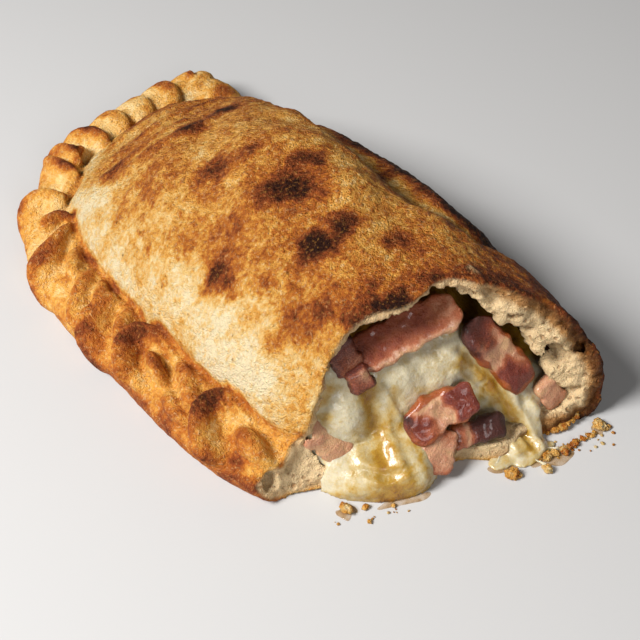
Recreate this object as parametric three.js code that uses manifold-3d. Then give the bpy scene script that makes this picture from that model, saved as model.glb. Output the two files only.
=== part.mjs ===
// A calzone cut across: a baked half-moon of dough with a roped edge, filled with melted cheese and
// bacon. Millimetres, +Z up. The loaf lies along Y on its flat base, its cut end faces -Y, the folded
// side is at +X and the roped edge runs round the far end and down the -X side.
import * as THREE from "three";
import { mergeVertices } from "three/addons/utils/BufferGeometryUtils.js";
import Module from "manifold-3d";

const wasm = await Module();
wasm.setup();

// ---------------------------------------------------------------- driving dimensions
const DOME_HEIGHT = 58; // base to the top of the dome
const CUT_HEIGHT = 53.5; // the dome is a little lower where it is cut
const LEFT_EDGE = -67; // widest point of the roped edge
const FOLD_EDGE = 49; // widest point of the folded side
const FAR_EDGE = 127; // far end of the rope
const WAIST_Y = 30; // where the rope is furthest to the left
const CORNER_X = 40; // where the rope starts to turn down the folded side
const CORNER_REACH = 14; // and how much further that corner reaches
const EDGE_POWER = 2.6; // squareness of the half-moon's plan
const NEAR_REACH = 130; // the near part of the half-moon would be this long if it were whole

const ROPE_WIDTH = 18; // the rope without its flaps, across
const ROPE_HEIGHT = 15; // and from the base to its top
const FOLD_RELIEF = 3.8; // how far a fold stands out of the rope
const GIRTH = 36; // length over the rope's top, from its outer foot to its inner foot

const FOLD_Z = 13; // height of the folded side's widest point
const EDGE_Z = 5; // and of the dome's where it meets the rope
const BASE_TRIM = 3; // solids that stand on the table are built this much deeper, then trimmed

const CRUST_LEFT = 5.2; // thickness of the dough round the filling
const CRUST_RIGHT = 9.5;
const CRUST_TOP = 4.2;
const CRUST_BASE = 4.8;
const CRUST_SHOULDER = 5.5; // extra thickness over the filling on the folded side
const CAVITY_END = 96; // far end of the filling
const GAP = 0.3; // clearance between pieces that touch

const CUT_LEFT = [-51, -47]; // the cut's two ends on the base
const CUT_RIGHT = [32, -81];
const CUT_LEAN = 0.28; // how far the cut leans back for each millimetre of height

// ---------------------------------------------------------------- small maths
const { abs, sign, min, max, sin, cos, sqrt, hypot, PI } = Math;
const clamp = (x, low, high) => min(high, max(low, x));
const mix = (a, b, t) => a + (b - a) * t;
const power = (x, n) => sign(x) * abs(x) ** n;
const ramp = (low, high, x) => {
  const t = clamp((x - low) / (high - low), 0, 1);
  return t * t * (3 - 2 * t);
};
const hump = (x, y, cx, cy, rx, ry) => max(0, 1 - ((x - cx) / rx) ** 2 - ((y - cy) / ry) ** 2) ** 1.5;

// ---------------------------------------------------------------- solids from rings of points
// Each ring holds the same number of points. The two end rings are closed by zipping each one's first
// half to its second half.
function solidFromRings(rings) {
  const around = rings[0].length;
  const faces = [];
  const quad = (a, b, c, d) => faces.push(a, b, c, a, c, d);
  for (let i = 0; i + 1 < rings.length; i++)
    for (let j = 0; j < around; j++) {
      const a = i * around + j;
      const b = i * around + ((j + 1) % around);
      quad(a, b, b + around, a + around);
    }
  const last = (rings.length - 1) * around;
  for (let j = 0; 2 * j + 3 <= around; j++) {
    const [a, b, c, d] = [j, j + 1, around - 2 - j, around - 1 - j];
    quad(a, d, c, b);
    quad(last + a, last + b, last + c, last + d);
  }
  return solidFromGeometry(new THREE.BufferGeometry().setFromPoints(rings.flat()).setIndex(faces));
}

function solidFromGeometry(geometry) {
  const merged = mergeVertices(geometry, 1e-4);
  const index = merged.index.array;
  const kept = [];
  for (let i = 0; i < index.length; i += 3) {
    const [a, b, c] = index.slice(i, i + 3);
    if (a !== b && b !== c && c !== a) kept.push(a, b, c);
  }
  const vertProperties = new Float32Array(merged.attributes.position.array);
  if (signedVolume(vertProperties, kept) < 0) kept.reverse();
  return new wasm.Manifold(new wasm.Mesh({ numProp: 3, vertProperties, triVerts: new Uint32Array(kept) }));
}

function signedVolume(places, faces) {
  const corner = (i) => new THREE.Vector3().fromArray(places, 3 * faces[i]);
  let sum = 0;
  for (let i = 0; i < faces.length; i += 3) sum += corner(i).dot(corner(i + 1).cross(corner(i + 2)));
  return sum / 6;
}

function geometryFromSolid(solid) {
  const { vertProperties, triVerts } = solid.getMesh();
  const geometry = new THREE.BufferGeometry();
  geometry.setAttribute("position", new THREE.BufferAttribute(vertProperties, 3));
  geometry.setIndex(new THREE.BufferAttribute(triVerts, 1));
  geometry.computeVertexNormals();
  return geometry;
}

// The largest closed piece, without the scraps that a cut can leave.
function mainBody(solid) {
  return solid.decompose().reduce((best, body) => (body.volume() > best.volume() ? body : best));
}

// ---------------------------------------------------------------- plan of the roped edge
// A half-moon as two quarter superellipses, with a small round corner at the folded side.
function edgePoint(angle) {
  const across = cos(angle) > 0 ? CORNER_X - LEFT_EDGE : CORNER_REACH;
  const along = sin(angle) > 0 ? FAR_EDGE - WAIST_Y : NEAR_REACH;
  const bend = 2 / EDGE_POWER;
  return new THREE.Vector3(
    CORNER_X - across * power(cos(angle), bend),
    WAIST_Y + along * power(sin(angle), bend),
    0,
  );
}
const ROPE_START = 0.8 * PI; // on the folded side, and past the cut
const ROPE_END = -0.33 * PI;
const edgeAngles = Array.from({ length: 61 }, (_, i) => mix(ROPE_START, ROPE_END, i / 60));
const edgeCurve = new THREE.CatmullRomCurve3(edgeAngles.map(edgePoint));
edgeCurve.arcLengthDivisions = 600;

// x of the roped edge's outer line, and of the folded side, at a given y.
function edgeX(y) {
  const along = y > WAIST_Y ? FAR_EDGE - WAIST_Y : NEAR_REACH;
  const share = clamp(abs(y - WAIST_Y) / along, 0, 1);
  return CORNER_X - (CORNER_X - LEFT_EDGE) * (1 - share ** EDGE_POWER) ** (1 / EDGE_POWER);
}
const foldX = (y) => FOLD_EDGE - 12 * ((y - 15) / 100) ** 2;

// ---------------------------------------------------------------- the rope
// Each fold of the rope is an arch: it climbs from the outer foot, turns over at its crest and runs
// back along the dome, open towards the cut. Folds: millimetres along the rope, where the crest lies
// round it (0 the outer foot, 1 the inner foot), and size.
const FOLDS = [
  [13, 0.5, 0.9],
  [28, 0.35, 1.05],
  [41, 0.55, 0.85],
  [53, 0.4, 1.1],
  [67, 0.35, 1],
  [79, 0.5, 0.9],
  [91, 0.5, 1],
  [106, 0.3, 0.95],
  [117, 0.65, 1],
  [131, 0.35, 0.9],
  [145, 0.7, 1.05],
  [162, 0.4, 1.1],
  [177, 0.75, 1],
  [194, 0.7, 0.9],
  [206, 0.3, 1.15],
  [220, 0.65, 1.15],
  [235, 0.55, 0.8],
  [253, 0.65, 1.2],
  [268, 0.45, 0.9],
  [284, 0.6, 1.1],
];
function foldPath(crest) {
  return [
    [12, -0.15],
    [mix(2, 6, crest), crest * 0.4],
    [0, crest],
    [2, mix(crest, 1, 0.45)],
    [mix(8, 5, crest), mix(crest, 1, 0.8)],
    [13, 0.93],
  ];
}

// Height of a ridge that follows a path: steep on its far side, gentle on its near side.
function ridge(along, round, path, farWidth, nearWidth) {
  let best = 0;
  for (let i = 0; i + 1 < path.length; i++) {
    const [ax, ay] = [path[i][0], path[i][1] * GIRTH];
    const [dx, dy] = [path[i + 1][0] - ax, path[i + 1][1] * GIRTH - ay];
    const [px, py] = [along - ax, round * GIRTH - ay];
    const t = clamp((px * dx + py * dy) / (dx * dx + dy * dy), 0, 1);
    const away = hypot(px - t * dx, py - t * dy);
    const near = px * dy - py * dx > 0;
    const share = away / (near ? nearWidth : farWidth);
    if (share >= 1) continue;
    best = max(best, near ? 1 - ramp(0, 1, share) : sqrt(1 - share * share));
  }
  return best;
}

function ropeRelief(along, round) {
  let height = 0;
  for (const [start, crest, size] of FOLDS) {
    const away = along - start;
    if (away < -4 || away > 24) continue;
    height = max(height, size * ridge(away, round, foldPath(crest), 2.6, 8.5));
  }
  return height;
}

const ROPE_STEPS = 156;
const ROPE_SIDES = 15;
const ROPE_ARC = [-0.32, 1.32]; // half turns round the rope, from its outer foot to its inner foot
const ROPE_SAG = 1.3; // the lower half is deeper, so that the trimmed foot is flat and wide
const FAR_TAPER = 0.65; // the rope starts this much smaller
function ropeSolid() {
  const length = edgeCurve.getLength();
  const rings = [];
  for (let i = 0; i <= ROPE_STEPS; i++) {
    const t = i / ROPE_STEPS;
    const foot = edgeCurve.getPointAt(t);
    const ahead = edgeCurve.getTangentAt(t);
    const outward = new THREE.Vector3(ahead.y, -ahead.x, 0).normalize();
    const taper = mix(FAR_TAPER, 1, ramp(0, 0.05, t));
    const half = (ROPE_WIDTH / 2) * taper;
    const middle = (ROPE_HEIGHT / 2) * taper;
    const centre = foot.clone().addScaledVector(outward, -ROPE_WIDTH / 2 - 0.6 * FOLD_RELIEF);
    const ring = [];
    for (let j = 0; j < ROPE_SIDES; j++) {
      const turn = mix(...ROPE_ARC, j / (ROPE_SIDES - 1)) * PI;
      const fade = mix(0.25, 1, ramp(-0.3, 0.3, turn / PI)); // folds are low at the outer foot
      const relief = FOLD_RELIEF * taper * fade * ropeRelief(t * length, turn / PI);
      const reach = cos(turn) * (half + relief);
      const deep = sin(turn) < 0 ? ROPE_SAG * middle : middle;
      const lift = middle + sin(turn) * (deep + relief);
      ring.push(centre.clone().addScaledVector(outward, reach).setZ(lift));
    }
    rings.push(ring);
  }
  return solidFromRings(rings);
}

// ---------------------------------------------------------------- the dome
const DOME_NEAR = -100; // the dome is built past the cut, which then takes its near end off
const DOME_FAR = 113;
const DOME_SHOULDER = -5; // from here to the far end the dome falls away
const DOME_FALL = 0.86; // by this share of its height
const GROOVE_DEPTH = 5.5;
const GROOVE_HALF_WIDTH = 10;

// One cross-section: where its ridge is, how far it reaches each way, and how high it stands.
function section(y) {
  const far = clamp((y - DOME_SHOULDER) / (DOME_FAR - DOME_SHOULDER), 0, 1);
  const fall = 1 - DOME_FALL * far ** 2;
  const near = ramp(20, -75, y);
  const ridgeX = mix(mix(0, -5, near), 16, far ** 2);
  const left = edgeX(y) + mix(15, 6, near);
  return {
    ridgeX,
    left: ridgeX - left,
    right: foldX(y) - ridgeX,
    height: mix(DOME_HEIGHT, CUT_HEIGHT, near) * fall,
    leftPower: mix(1.75, 2, near),
    rightPower: 1.7 + 0.2 * near + 0.3 * far,
  };
}

// A point of the upper part of a section, moved in from its side by one margin and down by another.
function archPoint(at, turn, sideIn, topIn, lowest) {
  const isRight = cos(turn) > 0;
  const squareness = 2 / (isRight ? at.rightPower : at.leftPower);
  const sideZ = max(lowest, min(isRight ? FOLD_Z : EDGE_Z, at.height / 2));
  const reach = (isRight ? at.right : at.left) - sideIn;
  return [
    at.ridgeX + reach * power(cos(turn), squareness),
    sideZ + max(0.5, at.height - topIn - sideZ) * power(sin(turn), squareness),
  ];
}

// The folded side carries a groove that parts a lower roll of dough from the dome.
const GROOVE = [
  [44, 96],
  [38, 62],
  [33, 34],
  [27, 6],
  [24, -18],
  [31, -34],
  [46, -44],
];
function grooveDepth(x, y) {
  let away = 99;
  for (let i = 0; i + 1 < GROOVE.length; i++) {
    const [ax, ay] = GROOVE[i];
    const [dx, dy] = [GROOVE[i + 1][0] - ax, GROOVE[i + 1][1] - ay];
    const t = clamp(((x - ax) * dx + (y - ay) * dy) / (dx * dx + dy * dy), 0, 1);
    away = min(away, hypot(x - ax - t * dx, y - ay - t * dy));
  }
  return GROOVE_DEPTH * (1 - ramp(0, GROOVE_HALF_WIDTH, away)) * ramp(104, 70, y);
}

// Blisters where the dome is darkest: x, y, radius, height.
const BLISTERS = [
  [8, 22, 14, 2.2],
  [22, 42, 9, 1.8],
  [6, -8, 11, 1.8],
  [-19, 8, 9, 1.5],
  [26, -26, 8, 1.5],
  [-4, 62, 9, 1.4],
  [18, 92, 9, 1.4],
];
function domeRelief(x, y) {
  let height = 0.9 * sin(x / 9 + 1.3) * sin(y / 13 + 0.4) + 0.6 * sin(x / 5.1 - y / 7.3);
  for (const [cx, cy, r, lift] of BLISTERS) height += lift * hump(x, y, cx, cy, r, r);
  return height - grooveDepth(x, y);
}

const DOME_STEPS = 44;
const TOP_POINTS = 23;
const BASE_POINTS = 9;
function domeSolid() {
  const rings = [];
  for (let i = 0; i <= DOME_STEPS; i++) {
    const share = i / DOME_STEPS;
    const y = mix(DOME_NEAR, DOME_FAR - 0.5, 1 - (1 - share) ** 1.15);
    const at = section(y);
    const ring = [];
    for (let j = 0; j < TOP_POINTS; j++) {
      const turn = (j / (TOP_POINTS - 1)) * PI;
      const [x, z] = archPoint(at, turn, 0, 0, 0);
      ring.push(new THREE.Vector3(x, y, z + domeRelief(x, y) * ramp(0.05, 0.5, sin(turn))));
    }
    for (let j = 0; j < BASE_POINTS; j++) {
      const turn = ((j + 1) / (BASE_POINTS + 1)) * PI + PI;
      const isRight = cos(turn) > 0;
      const sideZ = min(isRight ? FOLD_Z : EDGE_Z, at.height / 2);
      const x = at.ridgeX + (isRight ? at.right : at.left) * power(cos(turn), 0.45);
      ring.push(new THREE.Vector3(x, y, sideZ - (sideZ + BASE_TRIM) * abs(sin(turn)) ** 0.5));
    }
    rings.push(ring);
  }
  return solidFromRings(rings);
}

// ---------------------------------------------------------------- the hollow and the cut
// The space inside the dough, made smaller all round by a margin: the dome's own sections moved in,
// over a flat floor, closing to a point at the far end.
const CAVITY_STEPS = 22;
const CAVITY_POINTS = 26;
const CAVITY_SHOULDER = 40; // the space narrows from here to its far end
const FLOOR_ROUND = 5; // radius between its floor and its walls
function cavityPoint(at, turn, margin) {
  const isRight = cos(turn) > 0;
  const wall = (isRight ? CRUST_RIGHT : CRUST_LEFT) + margin;
  const floorZ = CRUST_BASE + margin;
  const sideZ = floorZ + FLOOR_ROUND;
  if (sin(turn) > 0) {
    const shoulder = isRight ? CRUST_SHOULDER * ramp(0.15, 0.7, cos(turn)) : 0;
    return archPoint(at, turn, wall, CRUST_TOP + shoulder + margin, sideZ);
  }
  const [sideX, topZ] = archPoint(at, isRight ? 0 : PI, wall, 0, sideZ);
  return [
    mix(at.ridgeX, sideX, abs(cos(turn)) ** 0.5),
    topZ - (topZ - floorZ) * abs(sin(turn)) ** 0.5,
  ];
}

function cavitySolid(margin) {
  const rings = [];
  for (let i = 0; i <= CAVITY_STEPS; i++) {
    const y = mix(DOME_NEAR - 5, CAVITY_END - margin - 0.5, i / CAVITY_STEPS);
    const at = section(y);
    const far = clamp((y - CAVITY_SHOULDER) / (CAVITY_END - margin - CAVITY_SHOULDER), 0, 1);
    const close = sqrt(1 - far ** 3);
    const middleZ = min(at.height / 2, CRUST_BASE + margin + 2 * FLOOR_ROUND);
    const ring = [];
    for (let j = 0; j < CAVITY_POINTS; j++) {
      const [x, z] = cavityPoint(at, (j / CAVITY_POINTS) * 2 * PI, margin);
      ring.push(new THREE.Vector3(mix(at.ridgeX, x, close), y, mix(middleZ, z, close)));
    }
    rings.push(ring);
  }
  return solidFromRings(rings);
}

// The cut's own frame: along it, into the food, and up.
const cutStart = new THREE.Vector3(...CUT_LEFT, 0);
const cutAlong = new THREE.Vector3(CUT_RIGHT[0] - CUT_LEFT[0], CUT_RIGHT[1] - CUT_LEFT[1], 0);
const CUT_LENGTH = cutAlong.length();
cutAlong.normalize();
const cutInward = new THREE.Vector3(-cutAlong.y, cutAlong.x, 0);
const fromCut = (along, inward, z) =>
  cutStart.clone().addScaledVector(cutAlong, along).addScaledVector(cutInward, inward).setZ(z);

// A torn, slightly wavy face: how far the cut runs into the food at a place on it.
const tear = (along, z) =>
  CUT_LEAN * z + 1.1 * sin(along / 6.2 + z / 9) + 0.8 * sin(along / 2.9 - z / 5 + 2) - 1.2;

// Everything in front of the cut, moved away from it by a margin.
const FRONT_STEPS = 40;
const FRONT_LEVELS = 12;
const FRONT_DEPTH = 70;
const FRONT_TOP = 75;
function frontSolid(margin) {
  const rings = [];
  for (let i = 0; i <= FRONT_STEPS; i++) {
    const along = mix(-45, CUT_LENGTH + 50, i / FRONT_STEPS);
    const ring = [];
    for (let j = 0; j <= FRONT_LEVELS; j++) {
      const z = mix(-BASE_TRIM, FRONT_TOP, j / FRONT_LEVELS);
      ring.push(fromCut(along, tear(along, max(0, z)) - margin, z));
    }
    ring.push(fromCut(along, -FRONT_DEPTH, FRONT_TOP), fromCut(along, -FRONT_DEPTH, -BASE_TRIM));
    rings.push(ring);
  }
  return solidFromRings(rings);
}

// ---------------------------------------------------------------- bacon
// A strip of bacon is a bent slab with a wavy edge. It runs between two places in the cut's frame, and
// its broad face looks out of the cut, tipped up by an angle.
const BACON = [
  { name: "bacon_rasher", from: [20, 14.5, 32], to: [54, 17, 45.5], size: [13, 4.6], tip: 52, bend: 2 },
  { name: "bacon_dark_end", from: [16.5, 14.5, 42], to: [22.5, 13.5, 31], size: [9, 6], tip: 40, bend: 1 },
  { name: "bacon_nub", from: [22.3, 11, 33.5], to: [24.6, 8.3, 26.5], size: [8, 7], tip: 40, bend: 0 },
  { name: "bacon_right", from: [56.5, 14.5, 37.5], to: [72.5, 6.5, 14.5], size: [10.5, 6], tip: 40, bend: 1 },
  { name: "bacon_centre", from: [34.5, 0.8, 13.5], to: [55, 3.2, 21.5], size: [10.5, 6], tip: 42, bend: 1 },
  { name: "bacon_pale_tail", from: [44.5, 0.5, 13], to: [39.5, -7, 3.2], size: [11, 5], tip: 35, bend: 1 },
  { name: "bacon_crisp", from: [47, -0.8, 8.2], to: [64, -0.4, 9.3], size: [7, 6], tip: 45, bend: 1 },
  { name: "bacon_pink_left", from: [4.5, 5, 22], to: [16, 0.6, 8], size: [9.5, 6], tip: 30, bend: 1 },
  { name: "bacon_pink_right", from: [77, 6.5, 14.5], to: [83, 4.5, 5.5], size: [7.5, 6], tip: 30, bend: 0 },
];
const BACON_STEPS = 8;
const BACON_SIDES = 10;
function baconSolid(strip, margin, seed) {
  const [width, thickness] = strip.size.map((size) => size / 2 + margin);
  const from = new THREE.Vector3(...strip.from);
  const run = new THREE.Vector3(...strip.to).sub(from);
  const length = run.length() / 2 + margin;
  const tip = THREE.MathUtils.degToRad(strip.tip);
  const lengthways = run.clone().normalize();
  const across = new THREE.Vector3(0, -cos(tip), sin(tip)).cross(lengthways).normalize();
  const faceways = lengthways.clone().cross(across);
  const middle = from.addScaledVector(run, 0.5);
  const rings = [];
  for (let i = 0; i <= BACON_STEPS; i++) {
    const share = mix(-0.985, 0.985, i / BACON_STEPS);
    const end = (1 - abs(share) ** 3.2) ** (1 / 3.2);
    const ring = [];
    for (let j = 0; j < BACON_SIDES; j++) {
      const turn = (j / BACON_SIDES) * 2 * PI;
      const ruffle = 1 + 0.09 * sin(share * 5 + seed * 2.1 + turn) + 0.05 * sin(share * 11 + seed);
      const curl = strip.bend * (share * share - 0.4);
      const place = middle
        .clone()
        .addScaledVector(lengthways, share * length)
        .addScaledVector(across, power(cos(turn), 0.6) * width * end * ruffle)
        .addScaledVector(faceways, power(sin(turn), 0.6) * thickness * end + curl);
      ring.push(fromCut(place.x, place.y, place.z));
    }
    rings.push(ring);
  }
  return solidFromRings(rings);
}

// ---------------------------------------------------------------- the cheese
// Millimetres along the cut: how far the melted cheese has run out in front of it, then the height
// and the slope of the bank of cheese behind. One tongue has run over the base crust to the table,
// and a narrow curtain hangs at the right.
const CHEESE_RUN = [
  [-8, -3, 0, 3.4],
  [6, -1, 1, 3.4],
  [13, 5, 1, 3.1],
  [20, 8.6, 4, 2.5],
  [28, 10.8, 6, 2.0],
  [36, 10.2, 6, 1.9],
  [41, 7, 6, 1.8],
  [47, 0.5, 7, 1.7],
  [54, -2.5, 9, 1.6],
  [65, -2, 7, 1.6],
  [70, 2.5, 5, 1.5],
  [75, 3, 4, 1.6],
  [80, -3, 2, 2.0],
  [110, -6, 0, 2.6],
];
const NOSE_HEIGHT = 9.5; // the rounded front of the flow, and how far back it takes to rise
const NOSE_LENGTH = 6;
const NOSE_SLOPE = 0.3;
function cheeseHeight(along, inward) {
  const next = max(1, CHEESE_RUN.findIndex((row) => row[0] >= along));
  const [low, high] = [CHEESE_RUN[next - 1], CHEESE_RUN[next]];
  const share = ramp(low[0], high[0], along);
  const [reach, bank, slope] = [1, 2, 3].map((column) => mix(low[column], high[column], share));
  const depth = inward + reach;
  const nose = NOSE_HEIGHT * power(min(1, depth / NOSE_LENGTH), 0.5) + NOSE_SLOPE * max(0, depth - 4);
  if (depth < 0) return nose;
  const ripple = 0.7 * sin(along / 4.5 + inward / 7) * min(1, depth / 3);
  return max(nose, min(depth * 3, bank + slope * inward)) + ripple;
}

const CHEESE_ALONG = 30;
const CHEESE_DEEP = 17;
const CHEESE_TOP = 60;
function flowSolid() {
  const rings = [];
  for (let i = 0; i <= CHEESE_ALONG; i++) {
    const along = mix(-7, CUT_LENGTH + 12, i / CHEESE_ALONG);
    const depths = Array.from({ length: CHEESE_DEEP + 1 }, (_, j) => mix(-14, 36, j / CHEESE_DEEP));
    depths.push(200);
    const top = depths.map((inward) =>
      fromCut(along, inward, clamp(cheeseHeight(along, inward), 1 - 2 * BASE_TRIM, CHEESE_TOP)),
    );
    const under = depths.map((inward) => fromCut(along, inward, -2 * BASE_TRIM));
    rings.push([...top, ...under.reverse()]);
  }
  return solidFromRings(rings).trimByPlane([0, 0, 1], 0);
}

// ---------------------------------------------------------------- putting it together
const cut = frontSolid(0);
const loaf = domeSolid().add(ropeSolid()).trimByPlane([0, 0, 1], 0);
const crust = mainBody(loaf.subtract(cavitySolid(0)).subtract(cut));
const room = cavitySolid(GAP).add(frontSolid(GAP));

const strips = [];
let cheese = flowSolid().intersect(room);
BACON.forEach((strip, i) => {
  let solid = baconSolid(strip, 0, i).intersect(room);
  BACON.slice(0, i).forEach((other, k) => {
    solid = solid.subtract(baconSolid(other, GAP, k));
  });
  cheese = cheese.subtract(baconSolid(strip, GAP, i));
  strips.push([strip.name, mainBody(solid)]);
});
cheese = mainBody(cheese);

const paint = (colour, roughness) =>
  new THREE.MeshStandardMaterial({ color: new THREE.Color(colour), roughness, metalness: 0 });
const crustPaint = paint("#cf9147", 0.75);
const cheesePaint = paint("#efe3b4", 0.35);
const baconPaint = paint("#a5574c", 0.4);

const pieces = [
  ["crust", crust, crustPaint],
  ["cheese", cheese, cheesePaint],
  ...strips.map(([name, solid]) => [name, solid, baconPaint]),
];
const calzone = new THREE.Group();
for (const [name, solid, material] of pieces) {
  const mesh = new THREE.Mesh(geometryFromSolid(solid), material);
  mesh.name = name;
  calzone.add(mesh);
}

// The part's origin is the middle of its box, on the table.
const box = new THREE.Box3().setFromObject(calzone);
const centre = box.getCenter(new THREE.Vector3());
calzone.position.set(-centre.x, -centre.y, -box.min.z);

export default calzone;
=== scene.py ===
# %% [markdown]
# # A calzone, cut across
# A calzone is a round of pizza dough folded over its filling, crimped shut along the edge and baked
# until it is golden with a few dark blisters. Here one end has been cut off, so melted cheese and
# bacon show inside.
# The solids of the part arrive from a packed file and stay as they are. This lesson builds a finer
# crust, finer cheese and finer bacon from the same named sizes, and gives each its own material.

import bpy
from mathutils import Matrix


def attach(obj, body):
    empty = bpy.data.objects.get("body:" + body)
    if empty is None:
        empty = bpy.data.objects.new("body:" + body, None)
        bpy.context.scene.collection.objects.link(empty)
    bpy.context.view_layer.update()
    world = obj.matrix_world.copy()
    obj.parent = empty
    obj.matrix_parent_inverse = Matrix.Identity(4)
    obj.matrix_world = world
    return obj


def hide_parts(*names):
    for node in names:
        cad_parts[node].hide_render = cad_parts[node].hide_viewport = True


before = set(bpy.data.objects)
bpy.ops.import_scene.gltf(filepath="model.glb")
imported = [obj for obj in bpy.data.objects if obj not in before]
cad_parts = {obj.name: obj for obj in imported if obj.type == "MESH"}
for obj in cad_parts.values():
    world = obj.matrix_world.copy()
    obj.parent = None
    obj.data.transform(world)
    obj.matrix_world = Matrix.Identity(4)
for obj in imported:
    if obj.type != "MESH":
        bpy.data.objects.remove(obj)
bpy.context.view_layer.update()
print("nodes:", ", ".join(sorted(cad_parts)))

# %% [markdown]
# ## Units and small maths
# Food is easiest to think about in millimetres, while Blender works in metres. All shapes below are
# worked out in millimetres in the loaf's own frame: it lies along Y on the table at height 0, and the
# cut end looks towards -Y. Numpy handles whole arrays of points at once, which is much quicker than
# moving vertices one by one.

# %% Small maths
import math

import bmesh
import bpy
import numpy as np
from mathutils import Matrix, Vector, bvhtree, kdtree, noise

MM = 0.001
LOAF_SHIFT = np.array([9.316, -22.407, 0.0])  # from the loaf's frame to the part's, in millimetres
dice = np.random.default_rng(11)


def mix(a, b, t):
    return a + (b - a) * t


def power(x, n):
    return np.sign(x) * np.abs(x) ** n


def ramp(low, high, x):
    """0 below low, 1 above high and a smooth rise between them. It also works the other way round."""
    t = np.clip((x - low) / (high - low), 0, 1)
    return t * t * (3 - 2 * t)


def hump(x, y, cx, cy, rx, ry):
    """A round bump of height 1 in the middle and 0 at its rim."""
    return np.maximum(0, 1 - ((x - cx) / rx) ** 2 - ((y - cy) / ry) ** 2) ** 1.5


def off_stretch(x, y, start, end):
    """Distance from each point to a straight stretch, and the share of the stretch it lies beside."""
    dx, dy = end[0] - start[0], end[1] - start[1]
    px, py = x - start[0], y - start[1]
    t = np.clip((px * dx + py * dy) / (dx * dx + dy * dy), 0, 1)
    return np.hypot(px - t * dx, py - t * dy), t


def away_from(path, x, y):
    """Distance from each point to a line through the given places."""
    return np.min([off_stretch(x, y, start, end)[0] for start, end in zip(path, path[1:])], axis=0)


def ripple(points, size, octaves=3, seed=0.0):
    """Smooth noise from about -1 to 1, with features of the given size in millimetres."""
    shift = Vector((seed, seed * 1.7, seed * 0.6))
    fall, step = 1.0, 2.0  # each octave is twice as fine as the last, and half as strong
    return np.array(
        [noise.fractal(Vector(p) / size + shift, fall, step, octaves) for p in points.tolist()]
    )


# %% [markdown]
# ## From rings of points to a solid
# Bread, cheese and bacon are all long shapes, so each is a row of rings: the points of one section
# after another, joined by four-sided faces. The two ends are zipped shut with more such faces, which
# leaves the solid closed.

# %% Solids from rings
def to_part(points):
    return (np.asarray(points, float).reshape(-1, 3) + LOAF_SHIFT) * MM


def from_part(points):
    return np.asarray(points, float).reshape(-1, 3) / MM - LOAF_SHIFT


def add_piece(name, data):
    piece = bpy.data.objects.new(name, data)
    bpy.context.scene.collection.objects.link(piece)
    return piece


def solid_from_rings(name, rings):
    """A closed solid from an array of sections, each a ring of points in millimetres."""
    count, around = rings.shape[:2]
    start = np.arange(count - 1)[:, None] * around
    here = np.arange(around)
    after = (here + 1) % around
    walls = np.stack([start + here, start + after, start + after + around, start + here + around], -1)
    faces = walls.reshape(-1, 4).tolist()
    last = (count - 1) * around
    for j in range((around - 1) // 2):
        zip_face = list(dict.fromkeys([j, j + 1, around - 2 - j, around - 1 - j]))
        if len(zip_face) > 2:
            faces.append(zip_face[::-1])
            faces.append([last + k for k in zip_face])
    mesh = bpy.data.meshes.new(name)
    mesh.from_pydata(to_part(rings).tolist(), [], faces)
    shell = bmesh.new()
    shell.from_mesh(mesh)
    bmesh.ops.remove_doubles(shell, verts=shell.verts, dist=1e-6)
    bmesh.ops.triangulate(shell, faces=[f for f in shell.faces if len(f.verts) > 4])
    if shell.calc_volume(signed=True) < 0:
        bmesh.ops.reverse_faces(shell, faces=shell.faces)
    shell.to_mesh(mesh)
    shell.free()
    return add_piece(name, mesh)


# %% [markdown]
# ## Joining, cutting and skinning
# Blender's Boolean modifier joins and cuts the solids. Its MANIFOLD solver is the quick one, and needs
# closed solids. The Remesh modifier then gives a joined solid one even skin. Each change is applied
# at once, so the next step starts from a plain mesh.

# %% Modifiers
def settle(piece):
    """Applies a piece's modifiers, so that its mesh is the final one."""
    graph = bpy.context.evaluated_depsgraph_get()
    mesh = bpy.data.meshes.new_from_object(piece.evaluated_get(graph))
    piece.modifiers.clear()
    piece.data = mesh
    return piece


def combine(body, tool, operation, keep_tool=False):
    """Joins, cuts or overlaps a body with a tool, which is used up unless it is kept."""
    change = body.modifiers.new(operation.lower(), "BOOLEAN")
    change.operation = operation
    change.solver = "MANIFOLD"
    change.object = tool
    settle(body)
    if not keep_tool:
        bpy.data.objects.remove(tool)
    return body


def remesh(piece, size):
    """Skins a solid again with small even squares of the given size in millimetres."""
    change = piece.modifiers.new("even skin", "REMESH")
    change.mode = "VOXEL"
    change.voxel_size = size * MM
    return settle(piece)


# %% [markdown]
# ## Points and numbers of a mesh
# Noise and colour are worked out for all points of a mesh at once. These helpers read its points and
# the directions they face, write them back, and keep one number per point for a material to read.

# %% Points of a mesh
def mesh_points(piece):
    flat = np.empty(len(piece.data.vertices) * 3)
    piece.data.vertices.foreach_get("co", flat)
    return from_part(flat)


def mesh_normals(piece):
    flat = np.empty(len(piece.data.vertices) * 3)
    piece.data.vertex_normals.foreach_get("vector", flat)
    return flat.reshape(-1, 3)


def move_points(piece, points):
    piece.data.vertices.foreach_set("co", to_part(points).ravel())
    piece.data.update()


def store(piece, name, values):
    """Keeps one number per vertex on the mesh, for the material to read."""
    layer = piece.data.attributes.new(name, "FLOAT", "POINT")
    layer.data.foreach_set("value", np.clip(values, 0, 1).astype(np.float32))


# %% [markdown]
# ## The line of the crimped edge
# Folding a round of dough in half gives a half-moon, and its curved side is where the two layers are
# crimped together. In plan the half-moon is made of quarter superellipses, a little squarer than
# circles. The crimped edge is described by millimetres along this line and by how far round the rope
# of dough a point lies, from 0 at the outer foot to 1 at the inner foot.

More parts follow.
